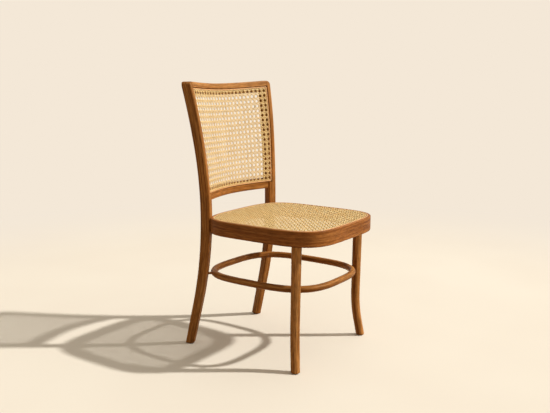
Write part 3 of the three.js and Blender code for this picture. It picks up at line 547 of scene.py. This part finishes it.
rail("top_rail", [
    (BACK_HEIGHT, -HALF_DEPTH), (BACK_HEIGHT, HALF_DEPTH), (TOP_RAIL_UNDER, HALF_DEPTH),
    (TOP_RAIL_UNDER, LIP), (BAND_UNDER, LIP), (BAND_UNDER, -HALF_DEPTH),
], [EDGE_ROUND, EDGE_ROUND, EDGE_ROUND, LIP_ROUND, BAND_ROOT, BAND_ROUND],
    end=SHOULDER - FIT, shift=350, wood=lit_rail_timber)
rail("low_rail", [
    (LOW_RAIL_TOP, LIP), (LOW_RAIL_TOP, HALF_DEPTH), (LOW_RAIL_UNDER, HALF_DEPTH),
    (LOW_RAIL_UNDER, LOW_RAIL_FACE), (RECESS_BOTTOM, LOW_RAIL_FACE), (RECESS_BOTTOM, LIP),
], [LEDGE_TOP_ROUND, LOW_RAIL_ROUND, LOW_RAIL_ROUND, LOW_RAIL_ROUND, FACE_TOP_ROUND, BAND_ROOT],
    end=-HALF_WIDTH - FIT, shift=1250, wood=back_timber)

# %% [markdown]
# ## Seat ring and stretcher ring
# Each ring is a strip or a rod steamed and bent into a hoop that is rounder than a square and
# squarer than an oval. Four arcs joined by straights would show where they meet, so both are
# squared ovals: a power of the sine and the cosine pushes a plain oval out towards its
# corners. The points of such a curve bunch up in the corners, so a fine curve is measured out
# again in equal steps, and the section is carried square to it.

# %% Squared ovals
FINE_STEPS = 24000


def squared_oval(half_width, widest, front_reach, rear_reach, front_power, rear_power,
                 inset=0.0, count=260):
    """x = a sin^(2/n) and y = b cos^(2/n), in equal steps from the rear middle.

    Gives the points drawn in or out by inset, their outward normals, and the length so far.
    """
    turn = np.linspace(0, 2 * np.pi, FINE_STEPS + 1)
    ahead, side = -np.cos(turn), np.sin(turn)
    power = np.where(ahead > 0, 2 / front_power, 2 / rear_power)
    reach = np.where(ahead > 0, front_reach, rear_reach)
    line = np.stack([half_width * np.sign(side) * np.abs(side) ** power,
                     widest - reach * np.sign(ahead) * np.abs(ahead) ** power], axis=-1)
    length = np.concatenate([[0], np.cumsum(np.linalg.norm(np.diff(line, axis=0), axis=1))])
    at = np.linspace(0, length[-1], count + 1)
    curve = np.stack([np.interp(at[:-1], length, line[:, k]) for k in (0, 1)], axis=-1)
    run = np.roll(curve, -1, axis=0) - np.roll(curve, 1, axis=0)
    normal = np.stack([run[:, 1], -run[:, 0]], axis=-1)
    normal *= np.sign((normal * (curve - (0, widest))).sum())
    normal /= np.linalg.norm(normal, axis=1, keepdims=True)
    return curve + normal * inset, normal, at


circle_length = squared_oval(100, 0, 100, 100, 2, 2)[2][-1]
print("with a power of two it is a circle:", round(circle_length), "mm round a radius of 100")


# %% Carry a section round an oval
def hoop(name, oval, section, material, stands_for, shift):
    """Each point is the oval's own, moved along its normal by the section's outward part.

    The section is (outward, height), and shift moves the piece in the wood.
    """
    curve, normal, run = squared_oval(*oval)
    out, height = section[:, 0], section[:, 1]
    flat = curve[:, None] + normal[:, None] * out[None, :, None]
    heights = np.broadcast_to(height[None, :, None], (*flat.shape[:2], 1))
    points = np.concatenate([flat, heights], axis=-1)
    grain = joined(run[:, None] + shift, out[None], height[None])
    build(name, points, grain, material, stands_for, loop=True)


# %% [markdown]
# ### The seat ring
# The seat ring is a deep apron. Its top is rounded where the sitter's legs pass, and carries
# a groove for the spline. Inside the groove the wood stands a little lower, for the cane. The
# groove could be cut by a boolean, but here it only takes four more corners of the section.

# %% Make the seat ring
SEAT_HALF_WIDTH, SEAT_FRONT_REACH, SEAT_REAR_REACH = 226.5, 267.0, 208.0
SEAT_FRONT_POWER, SEAT_REAR_POWER = 4.4, 3.9
SEAT_HEIGHT, CANE_LIP, GROOVE_FLOOR, APRON_BOTTOM = 460.0, 458.1, 452.0, 410.0
RIM_EDGE, GROOVE_EDGE, RING_INSIDE = -9.0, -14.8, -24.0
RING_ROUND, RIM_ROUND, GROOVE_ROUND, GROOVE_ROOT = 2.0, 3.6, 0.5, 0.4
SEAT_OVAL = (SEAT_HALF_WIDTH, SEAT_FRONT + SEAT_FRONT_REACH, SEAT_FRONT_REACH,
             SEAT_REAR_REACH, SEAT_FRONT_POWER, SEAT_REAR_POWER)

seat_section = filleted([
    (0, APRON_BOTTOM), (0, SEAT_HEIGHT), (RIM_EDGE, SEAT_HEIGHT), (RIM_EDGE, GROOVE_FLOOR),
    (GROOVE_EDGE, GROOVE_FLOOR), (GROOVE_EDGE, CANE_LIP), (RING_INSIDE, CANE_LIP),
    (RING_INSIDE, APRON_BOTTOM),
], [RING_ROUND, RIM_ROUND, GROOVE_ROUND, GROOVE_ROOT, GROOVE_ROOT, GROOVE_ROUND,
    RING_ROUND, RING_ROUND], beside=0.6)
hoop("seat_ring_smooth", SEAT_OVAL, seat_section, ring_timber, ["seat_ring"],
     shift=300)
print("the strip of the seat ring is", round(squared_oval(*SEAT_OVAL)[2][-1]), "mm long")

# %% [markdown]
# ### The stretcher ring
# The stretcher ring is a round rod inside all four legs, which ties them together. A torus
# has the wrong outline, so the rod is a circle carried round a rounder squared oval.

# %% Make the stretcher ring
STRETCHER_HALF_WIDTH, STRETCHER_DEPTH, STRETCHER_FROM_FRONT = 197.3, 448.5, 45.0
STRETCHER_FRONT_SHARE, STRETCHER_POWER = 0.52, 3.2
ROD_RADIUS, ROD_HEIGHT = 11.4, 260.5
stretcher_reach = STRETCHER_FRONT_SHARE * STRETCHER_DEPTH
STRETCHER_OVAL = (STRETCHER_HALF_WIDTH, SEAT_FRONT + STRETCHER_FROM_FRONT + stretcher_reach,
                  stretcher_reach, STRETCHER_DEPTH - stretcher_reach,
                  STRETCHER_POWER, STRETCHER_POWER)

turn = np.linspace(0, 2 * np.pi, 29)[:-1]
rod_section = np.stack([ROD_RADIUS * np.cos(turn), ROD_HEIGHT + ROD_RADIUS * np.sin(turn)], -1)
hoop("stretcher_ring_smooth", STRETCHER_OVAL, rod_section, back_timber,
     ["stretcher_ring"], shift=2100)

# %% [markdown]
# ## Front legs
# A front leg is turned and bent: nearly upright from the seat down, then swept out and
# forward to the foot, a little thinner there. A cylinder could be bent with a lattice, but
# its centre line is simpler to write: it uses the same eased lean as the rear legs, and each
# ring of points lies level. The end grain is rounded off at the floor.

# %% Make the front legs
LEG_ACROSS, LEG_FROM_FRONT, LEG_LEANS_BACK = 199.5, 85.0, 7.0
SWEEP_FROM, SWEEP, SWEEP_ASIDE = 170.0, (520.0, 110.0), 0.74
FOOT_RADIUS, RADIUS_GAIN, END_ROUND = 15.0, 1.2, 1.8
LEG_TOP = APRON_BOTTOM - FIT
# As with the rear legs, the place of the right leg in the uncut wood, along and across.
FRONT_ALONG_AWAY, FRONT_ACROSS_AWAY = 3000, 33


def front_leg_centre(sign, z):
    """The middle of a front leg: a small lean back, and a sweep out and forward near the foot."""
    sweep = eased(SWEEP_FROM - z, *SWEEP)
    forward = sweep * math.sqrt(1 - SWEEP_ASIDE**2)
    return np.stack([
        sign * (LEG_ACROSS + SWEEP_ASIDE * sweep),
        SEAT_FRONT + LEG_FROM_FRONT + LEG_LEANS_BACK * (LEG_TOP - z) / LEG_TOP - forward,
        z,
    ], axis=-1)


leg_height = np.unique(np.concatenate([
    FOOT_PLANE + END_ROUND * (1 - np.cos(np.linspace(0, np.pi / 2, 6))),
    np.linspace(10, SWEEP_FROM + 10, 36), np.linspace(SWEEP_FROM + 20, LEG_TOP, 18),
]))
girth = FOOT_RADIUS + RADIUS_GAIN * leg_height / LEG_TOP
girth -= drawn_in(FOOT_PLANE + END_ROUND - leg_height, END_ROUND)
turn = np.linspace(0, 2 * np.pi, 41)[:-1]
circle = np.stack([np.cos(turn), np.sin(turn), 0 * turn], axis=-1)
ring = circle[None] * girth[:, None, None]
for side, sign in (("left", -1), ("right", 1)):
    centre = front_leg_centre(sign, leg_height)[:, None]
    grain = joined(leg_height[:, None] + FRONT_ALONG_AWAY * sign,
                   ring[..., 0] + FRONT_ACROSS_AWAY * sign, ring[..., 1])
    build(f"front_leg_smooth_{side}", centre + ring, grain, lit_leg_timber,
          [f"front_leg_{side}"])

# %% [markdown]
# ## The finish of split cane
# Cane is the glossy bark of rattan, split into flat strips. Each strip has its own tone of
# straw, fine fibres along it, a few duller marks, and browner cut edges. One straw colour would
# leave the web looking like plastic. The edges matter most: from a chair's distance they are
# what draws the web. So the finish reads how far a place lies from the middle of its strand,
# and darkens the outermost quarter. That darkening is partly the brown of the cut edge and
# partly painted shade of the gaps between strands, strongest on the seat.

# %% Mix the canes
EDGE_FROM, MARK_SHADE = 0.74, 0.62


def cane_finish(name, pale, warm, brown, half_width, roughness=0.38, edge_shade_share=0.6):
    """Straw from warm to pale, browned at its edges: the cut edge and painted shade of gaps."""
    material, tree, shader = new_material(name, roughness)
    place = kept_grain(tree)
    tone = stretched_noise(tree, place, (1.5, 2.0, 900), 0.0)
    fibre = stretched_noise(tree, place, (18, 2600, 900), 2.0)
    mark = stretched_noise(tree, place, (16, 30, 700), 1.0)
    ground = ramp(tree, tone, [(0.34, (*warm, 1)), (0.60, (*pale, 1))])
    lines = two_tones(tree, fibre, (0.34, 0.80), (0.60, 1.05))
    ground = tinted(tree, "MULTIPLY", 0.7, ground, lines)
    spots = two_tones(tree, mark, (0.64, 0.0), (0.74, 1.0))
    ground = tinted(tree, "MIX", spots, ground, (*darker(warm, MARK_SHADE), 1))
    parts = node(tree, "ShaderNodeSeparateXYZ")
    tree.links.new(place, parts.inputs["Vector"])
    aside = node(tree, "ShaderNodeMath", operation="ABSOLUTE")
    tree.links.new(parts.outputs["Y"], aside.inputs[0])
    # The brown edge is partly the cut edge and partly painted shade of the gaps between strands.
    edge_and_gap_shade = smooth_step(tree, aside.outputs["Value"], EDGE_FROM * half_width, half_width,
                       high=edge_shade_share)
    ground = tinted(tree, "MIX", edge_and_gap_shade, ground, (*brown, 1))
    tree.links.new(ground, shader.inputs["Base Color"])
    dented(tree, shader, fibre, strength=0.2, depth=0.0002)
    shader.inputs["Specular IOR Level"].default_value = 0.25
    return material


back_straw = cane_finish("back_straw", (0.94, 0.72, 0.36), (0.80, 0.55, 0.22),
                         (0.26, 0.12, 0.03), half_width=0.0012)
# The seat's edges brown more: painted shade of the gaps, seen at a slant.
seat_straw = cane_finish("seat_straw", (1.0, 0.78, 0.38), (0.94, 0.63, 0.24),
                         (0.20, 0.09, 0.022), half_width=0.0015, edge_shade_share=0.82)
reed_tan = cane_finish("reed_tan", (0.80, 0.45, 0.21), (0.66, 0.33, 0.13),
                       (0.34, 0.16, 0.06), half_width=0.002, roughness=0.42, edge_shade_share=0.0)
print("canes:", back_straw.name, seat_straw.name, reed_tan.name)

# %% [markdown]
# ## Weaving
# Octagonal cane is woven from six sets of strands: two upright, two level, and one along each
# diagonal. The straight strands run in close pairs and cross each other over and under; the
# diagonals pass between the pairs, one over the uprights and under the levels, the other the
# opposite way round. What stays open is an octagon in every mesh. A sheet with holes would be
# lighter, but it has no crossings to catch the light. So each strand is worked out in the
# flat pattern, in meshes, and a placing function then lays the whole web on the seat or on
# the bowed back.

# %% Lines across a web
PITCH = 18.2


def square_to(direction):
    """The direction turned a quarter to the right."""
    return np.array([direction[1], -direction[0]])


def chord(boundary, direction, offsets):
    """Where lines of one direction enter and leave a convex boundary, measured along them.

    The boundary is split at its lowest and highest corner across the lines, and each line's
    offset is looked up on both halves.
    """
    across_line, along_line = boundary @ square_to(direction), boundary @ direction
    low, high = np.argmin(across_line), np.argmax(across_line)
    order = np.roll(np.arange(len(boundary)), -low)
    split = int(np.where(order == high)[0][0])
    first, second = order[: split + 1], np.append(order[split:], low)[::-1]
    ends = [np.interp(offsets, across_line[part], along_line[part]) for part in (first, second)]
    return np.minimum(*ends), np.maximum(*ends)


print("a mesh of the web is", PITCH, "mm wide")

# %% Strands of a web
# NEXT_STRAND parts neighbours in the noise, and what is under SHORTEST meshes is left out.
# PROFILE is a crown over a keel, in shares of a strand's width and thickness.
STRAND_THICK, NEXT_STRAND, SHORTEST = 1.2, 7.3, 0.4
PROFILE = np.array([(-0.5, -0.05), (-0.32, 0.42), (0.32, 0.42), (0.5, -0.05), (0.0, -0.5)])


def strands(boundary, direction, offsets, width, lift, rows_per_mesh):
    """Ribbons at s d + o n + w n, raised by lift: [strand, row, column, (a, b, height)].

    d is the direction, n is square to it, s runs along, o is the offset and w crosses the
    strand, as PROFILE's shares of its width. Their places in the cane come with them.
    """
    direction = np.asarray(direction, float)
    start, stop = chord(boundary, direction, offsets)
    keep = stop - start > SHORTEST
    offsets, start, stop = offsets[keep], start[keep], stop[keep]
    rows = int(rows_per_mesh * (stop - start).max()) + 2
    along = start[:, None] + (stop - start)[:, None] * np.linspace(0, 1, rows)
    line = along[..., None] * direction + offsets[:, None, None] * square_to(direction)
    height = lift(line[..., 0], line[..., 1], offsets[:, None])
    wide = PROFILE[:, 0] * width
    flat = line[:, :, None] + wide[None, None, :, None] * square_to(direction)
    up = height[:, :, None] + PROFILE[:, 1] * STRAND_THICK
    number = NEXT_STRAND * np.arange(len(offsets))[:, None, None]
    grain = joined(along[:, :, None] * PITCH, wide * PITCH, number)
    return np.concatenate([flat, up[..., None]], axis=-1), grain


# %% Pairs and their crossings
PAIR = 4.9 / PITCH


def over_under(place):
    """How far a strand of a pair has risen at a place: a full wave between its two crossings."""
    beside = place - np.round(place)
    return np.where(np.abs(beside) < PAIR, -np.sin(np.pi * beside / PAIR), 0.0)


def paired(low, high):
    """Offsets of the close pairs about every whole mesh."""
    middle = np.arange(math.ceil(low) - 1, math.floor(high) + 2)
    offsets = np.stack([middle - PAIR / 2, middle + PAIR / 2], axis=1).ravel()
    return offsets[(offsets > low) & (offsets < high)]


def member(offsets):
    """Minus one for the first strand of a pair, and one for the second."""
    return np.where(offsets - np.round(offsets) < 0, -1.0, 1.0)


print("the strands of a pair stand", round(PAIR * PITCH, 1), "mm apart")

# %% Weave a web of cane
# Rises are millimetres and the rest is in meshes. SWING steepens a diagonal's wave, so that
# it lies flat for a while once it is clipped at CROSS_RISE.
STRAIGHT_WIDTH, DIAGONAL_WIDTH = 2.4 / PITCH, 2.6 / PITCH
RISE, CROSS_RISE, SWING = 0.62, 1.25, 1.75
STRAIGHT_ROWS, DIAGONAL_ROWS, MOST_DIAGONALS = 9, 5.2, 60
EDGE_CLEAR, DIAGONAL_CLEAR = 0.02, 0.15


def weave(name, boundary, place, finish, node_name, fullness=1.0):
    """Warp, weft and diagonals of a web inside a boundary in meshes, laid down by place.

    Pairs rise by a sine between their crossings, and diagonals by a clipped cosine of the
    place across. fullness widens every strand and leaves its middle line where it is.
    """
    low, high = boundary.min(axis=0) + EDGE_CLEAR, boundary.max(axis=0) - EDGE_CLEAR
    half = math.sqrt(0.5)
    straight, slanted = STRAIGHT_WIDTH * fullness, DIAGONAL_WIDTH * fullness

    def diagonals(direction, sign):
        lines = (np.arange(-MOST_DIAGONALS, MOST_DIAGONALS) + 0.5) * half
        reach = boundary @ square_to(direction)
        clear = (lines > reach.min() + DIAGONAL_CLEAR) & (lines < reach.max() - DIAGONAL_CLEAR)

        def lift(a, b, offset):
            wave = sign * SWING * CROSS_RISE * np.cos(2 * np.pi * a)
            return np.clip(wave, -CROSS_RISE, CROSS_RISE)

        return strands(boundary, direction, lines[clear], slanted, lift, DIAGONAL_ROWS)

    sets = {
        "warp": strands(boundary, (0, 1), paired(low[0], high[0]), straight,
                        lambda a, b, k: -member(k) * RISE * over_under(b), STRAIGHT_ROWS),
        "weft": strands(boundary, (1, 0), -paired(low[1], high[1]), straight,
                        lambda a, b, k: member(k) * RISE * over_under(a), STRAIGHT_ROWS),
        "rising": diagonals((half, half), 1),
        "falling": diagonals((half, -half), -1),
    }
    for set_name, (pattern, grain) in sets.items():
        points = place(pattern[..., 0], pattern[..., 1], pattern[..., 2])
        build(f"{name}_{set_name}", points, grain, finish, [node_name])


# %% [markdown]
# ## Cane of the back
# On the back the level strands follow the rails and the upright ones fan out with the
# uprights, because the holes they are drawn through are spaced evenly along each rail. The
# web could be woven flat and then bent with a modifier, but its rows have to meet the real
# holes, so it is placed by the back's own surface. It ends under the splines.

# %% Weave the back
ROW_PITCH, LOW_HOLES, CANE_DEPTH = 17.9, 555.4, -13.2
CANE_LOW, CANE_HIGH, UNDER_SPLINE = 544.2, 892.0, 5.3
COLUMN_PITCH, PITCH_GAIN, MEASURED_AT = 17.22, 0.005575, 573.0


def column_pitch(z):
    """The pitch at MEASURED_AT, and PITCH_GAIN more for each millimetre above it."""
    return COLUMN_PITCH + PITCH_GAIN * (z - MEASURED_AT)


def on_back(a, b, height):
    """Pattern to back: a meshes across from the middle, b meshes up, height to the sitter."""
    z = LOW_HOLES + (b - 0.5) * ROW_PITCH
    return back_point(a * column_pitch(z), z, CANE_DEPTH - height)


edge_z = np.array([CANE_LOW, CANE_HIGH])
edge_a = (upright_x(edge_z) - UNDER_SPLINE) / column_pitch(edge_z)
edge_b = (edge_z - LOW_HOLES) / ROW_PITCH + 0.5
# A hair of slope leaves one lowest corner and one highest, as chord needs.
hair = 0.001
back_boundary = np.array([(-edge_a[0], edge_b[0]), (edge_a[0], edge_b[0] + hair),
                          (edge_a[1], edge_b[1]), (-edge_a[1], edge_b[1] + hair)])
weave("back_cane", back_boundary, on_back, back_straw, "back_cane_panel")

# %% [markdown]
# ## Cane of the seat
# The seat's web is flat and square to the chair, and ends in the groove of the ring. Its
# strands are drawn a size wider than the back's, because a seat carries weight and is seen
# at a slant, where narrow ones would let the floor shine through.

# %% Weave the seat
SEAT_WEB_INSET, SEAT_WEB_HEIGHT, SEAT_FULLNESS = -11.2, 459.3, 1.28
SEAT_MIDDLE = SEAT_FRONT + (SEAT_FRONT_REACH + SEAT_REAR_REACH) / 2
seat_curve, _, _ = squared_oval(*SEAT_OVAL, inset=SEAT_WEB_INSET, count=400)


def on_seat(a, b, height):
    """Pattern to seat: a meshes to the right and b meshes back, both from the seat's middle."""
    return np.stack([a * PITCH, SEAT_MIDDLE + b * PITCH, SEAT_WEB_HEIGHT + height], axis=-1)


weave("seat_cane", (seat_curve - (0, SEAT_MIDDLE)) / PITCH, on_seat, seat_straw,
      "seat_cane_panel", SEAT_FULLNESS)

# %% [markdown]
# ## Reed splines
# A strip of reed, glued and tapped into the groove over the cane's edge, holds the web. Its
# face is gently crowned and stands a little proud. A bevelled curve could give the strip, but
# it would have to be fitted to the groove. It is the same work as the rails and the ring, so
# the same surface and the same hoop carry a section of its own.

# %% Make the splines
SPLINE_WIDTH, SPLINE_CROWN, SPLINE_AWAY = 3.7, 1.0, 40
SPLINE_FACE, SPLINE_FLOOR = -15.0, LIP + 1
SIDE_SPLINE_EDGE, SIDE_SPLINE_LOW, SIDE_SPLINE_HIGH = -3.4, 546.0, 890.2
TOP_SPLINE, LOW_SPLINE, SPLINE_END = 893.1, 545.9, -6.3
SEAT_SPLINE_EDGE, SEAT_SPLINE_FLOOR, SEAT_SPLINE_FACE = -9.3, 452.3, 460.7


def spline_outline(outer, floor, face, toward):
    """Flat sides from the groove's floor, and half an oval, w/2 cos t and h sin t, for a face."""
    half = SPLINE_WIDTH / 2
    t = np.linspace(0, np.pi, 11)
    crown = np.stack([outer - half + half * np.cos(t),
                      face - toward * SPLINE_CROWN * (1 - np.sin(t))], axis=-1)
    sides = np.array([(outer - SPLINE_WIDTH, floor), (outer, floor)])
    return np.concatenate([crown, sides])


out, depth = spline_outline(SIDE_SPLINE_EDGE, SPLINE_FLOOR, SPLINE_FACE, -1).T[:, None]
z = np.linspace(SIDE_SPLINE_LOW, SIDE_SPLINE_HIGH, 60)[:, None]
for side, sign in (("left", -1), ("right", 1)):
    build(f"spline_smooth_{side}", carried_up(sign, z, out, depth),
          joined(z, out, depth + SPLINE_AWAY * sign), reed_tan,
          [f"back_spline_{side}"])
for edge_name, high in (("top", TOP_SPLINE), ("low", LOW_SPLINE)):
    height, depth = spline_outline(high, SPLINE_FLOOR, SPLINE_FACE, -1).T[:, None]
    x, points = carried_across(height, depth, SPLINE_END)
    build(f"spline_smooth_{edge_name}", points, joined(x, height - high, depth + high),
          reed_tan, [f"back_spline_{edge_name}"])
seat_spline = spline_outline(SEAT_SPLINE_EDGE, SEAT_SPLINE_FLOOR, SEAT_SPLINE_FACE, 1)
hoop("seat_spline_smooth", SEAT_OVAL, seat_spline, reed_tan, ["seat_spline"], shift=0)

# %% [markdown]
# ## Steel and plastic
# The hidden screws, bolts, washers and nuts are zinc-plated steel, and the glides are a dark
# plastic. One plain colour would look like paint, so a fine cloud of noise unsettles the
# gloss of the one and the surface of the other.

# %% Mix the steel and the plastic
def clouded(tree, cloud, colour, shade):
    """The colour, and a share of it where the cloud is thin."""
    return ramp(tree, cloud, [(0.3, (*darker(colour, shade), 1)), (0.7, (*colour, 1))])


def brushed(name, colour, roughness):
    """Zinc-plated steel: a fine uneven gloss over a plain metal."""
    material, tree, shader = new_material(name, roughness, 1.0)
    cloud = stretched_noise(tree, object_place(tree), (300, 300, 300), 3.0)
    tree.links.new(clouded(tree, cloud, colour, 0.8), shader.inputs["Base Color"])
    gloss = two_tones(tree, cloud, (0.3, roughness - 0.08), (0.7, roughness + 0.1))
    tree.links.new(gloss, shader.inputs["Roughness"])
    return material


def moulded(name, colour, roughness):
    """Dark moulded plastic with a faint grain."""
    material, tree, shader = new_material(name, roughness)
    cloud = stretched_noise(tree, object_place(tree), (900, 900, 900), 2.0)
    tree.links.new(clouded(tree, cloud, colour, 0.85), shader.inputs["Base Color"])
    dented(tree, shader, cloud, strength=0.15, depth=0.0002)
    return material


zinc_steel = brushed("zinc_steel", (0.62, 0.62, 0.60), 0.36)
glide_plastic = moulded("glide_plastic", (0.030, 0.024, 0.020), 0.5)
print("hardware finishes:", zinc_steel.name, glide_plastic.name)

# %% [markdown]
# ## Glides
# A glide is a disc with a rounded rim and a pin that is driven into the end of the leg. It is
# turned: a profile of radius against height, spun in even steps. The Screw modifier does the
# same, but the maker already closes such a grid. The frame's own glides give the places.

# %% Turn the glides
# TIP keeps both ends of the profile just off the axis, so that each closes in a tiny cap.
GLIDE_RADIUS, GLIDE_THICK, PIN_RADIUS, PIN_TOP, TIP = 10.0, 2.5, 1.5, 16.3, 0.01
GLIDE_PROFILE = [
    (TIP, 0), (GLIDE_RADIUS - 0.8, 0), (GLIDE_RADIUS - 0.2, 0.3), (GLIDE_RADIUS, 1),
    (GLIDE_RADIUS, GLIDE_THICK), (PIN_RADIUS, GLIDE_THICK + 0.1),
    (PIN_RADIUS - 0.1, PIN_TOP - 1.3), (TIP, PIN_TOP),
]


def turned(name, profile, centre, material, stands_for, sides=36):
    """Spins (radius, height) points about an upright line: x = cx - r sin t, y = cy + r cos t."""
    t = np.linspace(0, 2 * np.pi, sides + 1)[:-1]
    radius, height = np.asarray(profile, float).T[..., None]
    x, y = -radius * np.sin(t), radius * np.cos(t)
    points = joined(centre[0] + x, centre[1] + y, height)
    build(name, points, joined(height, y, -x), material, stands_for)


for end in ("front", "rear"):
    for side in ("left", "right"):
        low, high = (np.array(corner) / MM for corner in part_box(f"glide_{end}_{side}"))
        turned(f"glide_smooth_{end}_{side}", GLIDE_PROFILE, (low + high) / 2, glide_plastic,
               [f"glide_{end}_{side}"])

# %% [markdown]
# ## Finishes of the pieces that stay as the frame has them
# Corner blocks, dowels, spacers and the inner hardware are mostly hidden. They could be made
# anew as the rest was, but their own meshes are exact, so they stay and only get a finish.
# They are straight pieces with no kept grain, so the patterns read the object's coordinates.

# %% Dress the remaining frame pieces
raw_timber = timber("raw_blocks", (0.74, 0.52, 0.29), (0.66, 0.44, 0.23), (0.52, 0.32, 0.15),
                    place_in=object_place, roughness=0.62)
spacer_timber = timber("oiled_spacers", (0.44, 0.20, 0.075), (0.34, 0.15, 0.05),
                       (0.2, 0.08, 0.025), place_in=object_place, roughness=0.45)
finishes = {
    "corner_block": raw_timber, "dowel": raw_timber, "spacer": spacer_timber,
    "screw": zinc_steel, "bolt": zinc_steel, "nut": zinc_steel,
}
for node_name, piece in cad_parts.items():
    for word, finish in finishes.items():
        if word in node_name and not piece.hide_render:
            piece.data.materials.clear()
            piece.data.materials.append(finish)
print("plain pieces dressed:", sum(not p.hide_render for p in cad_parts.values()))

# %% [markdown]
# ## Floor
# The floor is a pale disc that fades into a cream background, so no edge shows. More light
# could make it pale too, but that would bleach the chair. So the camera, glossy surfaces and
# clear ones see its pale colour and the fade, while the light that bounces up to the chair
# comes from a darker tone.

# %% Lay the floor
CREAM = (0.905, 0.805, 0.680)
DISC_ROWS, DISC_SIDES, DISC_RADIUS, DISC_HOLE = 40, 96, 6.0, 0.02
FADE_FROM, FADE_TO = 1.35, 2.9

radius = np.linspace(DISC_HOLE, DISC_RADIUS, DISC_ROWS)[:, None]
turn = np.linspace(0, 2 * np.pi, DISC_SIDES + 1)[:-1]
disc = joined(radius * np.cos(turn), radius * np.sin(turn), 0.0)
disc_faces = tube_faces(DISC_ROWS, DISC_SIDES, False).tolist() + [list(range(DISC_SIDES))]
floor_mesh = bpy.data.meshes.new("studio_floor")
floor_mesh.from_pydata(disc.reshape(-1, 3).tolist(), [], disc_faces)
floor = bpy.data.objects.new("studio_floor", floor_mesh)
scene.collection.objects.link(floor)
print("the floor has", len(floor_mesh.polygons), "faces")


# %% Finish the floor
def seen_plainly(tree):
    """The largest of three flags: one where the camera, a gloss or clear glass looks.

    It is nothing where light bounces on its way to the chair.
    """
    path = node(tree, "ShaderNodeLightPath")
    glossy = node(tree, "ShaderNodeMath", operation="MAXIMUM")
    tree.links.new(path.outputs["Is Camera Ray"], glossy.inputs[0])
    tree.links.new(path.outputs["Is Glossy Ray"], glossy.inputs[1])
    clear = node(tree, "ShaderNodeMath", operation="MAXIMUM")
    tree.links.new(glossy.outputs["Value"], clear.inputs[0])
    tree.links.new(path.outputs["Is Transmission Ray"], clear.inputs[1])
    return clear.outputs["Value"]


def either(tree, factor, first, second):
    """Mixes two shaders by a factor."""
    made = node(tree, "ShaderNodeMixShader")
    for socket, source in zip(made.inputs, (factor, first, second)):
        tree.links.new(source, socket)
    return made.outputs["Shader"]


floor_finish, tree, shader = new_material("studio_floor", 0.9)
place = object_place(tree)
length = node(tree, "ShaderNodeVectorMath", operation="LENGTH")
tree.links.new(place, length.inputs[0])
fade = smooth_step(tree, length.outputs["Value"], FADE_FROM, FADE_TO)
cloud = stretched_noise(tree, place, (1.2, 1.2, 1.2), 2.0)
pale = ramp(tree, cloud, [(0.3, (0.82, 0.77, 0.69, 1)), (0.7, (0.85, 0.81, 0.73, 1))])
seen = seen_plainly(tree)
ground = tinted(tree, "MIX", seen, (0.32, 0.225, 0.14, 1), pale)
tree.links.new(ground, shader.inputs["Base Color"])
shader.inputs["Specular IOR Level"].default_value = 0.1
glow = node(tree, "ShaderNodeEmission", Strength=1.0, Color=(*CREAM, 1))
faded = either(tree, fade, shader.outputs["BSDF"], glow.outputs["Emission"])
surface = either(tree, seen, shader.outputs["BSDF"], faded)
tree.links.new(surface, tree.nodes["Material Output"].inputs["Surface"])
floor_mesh.materials.append(floor_finish)
print("the floor fades out from", FADE_FROM, "to", FADE_TO, "m")

# %% [markdown]
# ## World
# The world does two jobs. Where it is looked at it is the cream background at full strength,
# and where it lights the chair it is a soft warm fill. A room is brighter on the window's
# side, so the fill is stronger towards the key light and weaker away from it.

# %% Set the world
KEY_SIDE, AWAY_FROM_KEY, FACING_KEY = (0.50, -0.72, 0.48), -0.7, 1.0
FILL_LOW, FILL_HIGH = 0.24, 0.58

world = bpy.data.worlds.new("studio")
scene.world = world
world.use_nodes = True
tree = world.node_tree
fill = tree.nodes["Background"]
fill.inputs["Color"].default_value = (1.0, 0.87, 0.70, 1)
towards_key = node(tree, "ShaderNodeVectorMath", operation="DOT_PRODUCT")
towards_key.inputs[1].default_value = KEY_SIDE
view = node(tree, "ShaderNodeTexCoord").outputs["Generated"]
tree.links.new(view, towards_key.inputs[0])
level = smooth_step(tree, towards_key.outputs["Value"], AWAY_FROM_KEY, FACING_KEY,
                    FILL_LOW, FILL_HIGH)
tree.links.new(level, fill.inputs["Strength"])
backdrop = node(tree, "ShaderNodeBackground", Strength=1.0, Color=(*CREAM, 1))
surface = either(tree, seen_plainly(tree), fill.outputs["Background"],
                 backdrop.outputs["Background"])
tree.links.new(surface, tree.nodes["World Output"].inputs["Surface"])
print("the fill goes from", FILL_LOW, "to", FILL_HIGH)

# %% [markdown]
# ## Lamps
# One key light comes from the front right, about forty degrees up, as sun through a window
# does. A spot could give it, but a sun lamp's shadows stay parallel, and two degrees of width
# soften their far ends. A large weak lamp above only opens the shadows on top.

# %% Hang the lamps
AIM_HEIGHT = 0.4


def lamp(name, kind, strength, towards, distance=4.0, **values):
    """A lamp at the chair's middle plus distance times a unit direction, turned to face back."""
    made = bpy.data.lights.new(name, kind)
    made.energy = strength
    for key, value in values.items():
        setattr(made, key, value)
    holder = bpy.data.objects.new(name, made)
    away = np.asarray(towards, float) / np.linalg.norm(towards)
    holder.location = away * distance + (0, 0, AIM_HEIGHT)
    x, y, z = away
    holder.rotation_euler = (math.atan2(math.hypot(x, y), z), 0, math.atan2(x, -y))
    scene.collection.objects.link(holder)


lamp("key", "SUN", strength=3.1, towards=(0.429, -0.623, 0.653), angle=math.radians(2.2),
     color=(1.0, 0.955, 0.88))
lamp("top_fill", "AREA", strength=12.0, towards=(0.5, -0.2, 1.0), distance=3.2, size=2.6,
     color=(1.0, 0.97, 0.93))
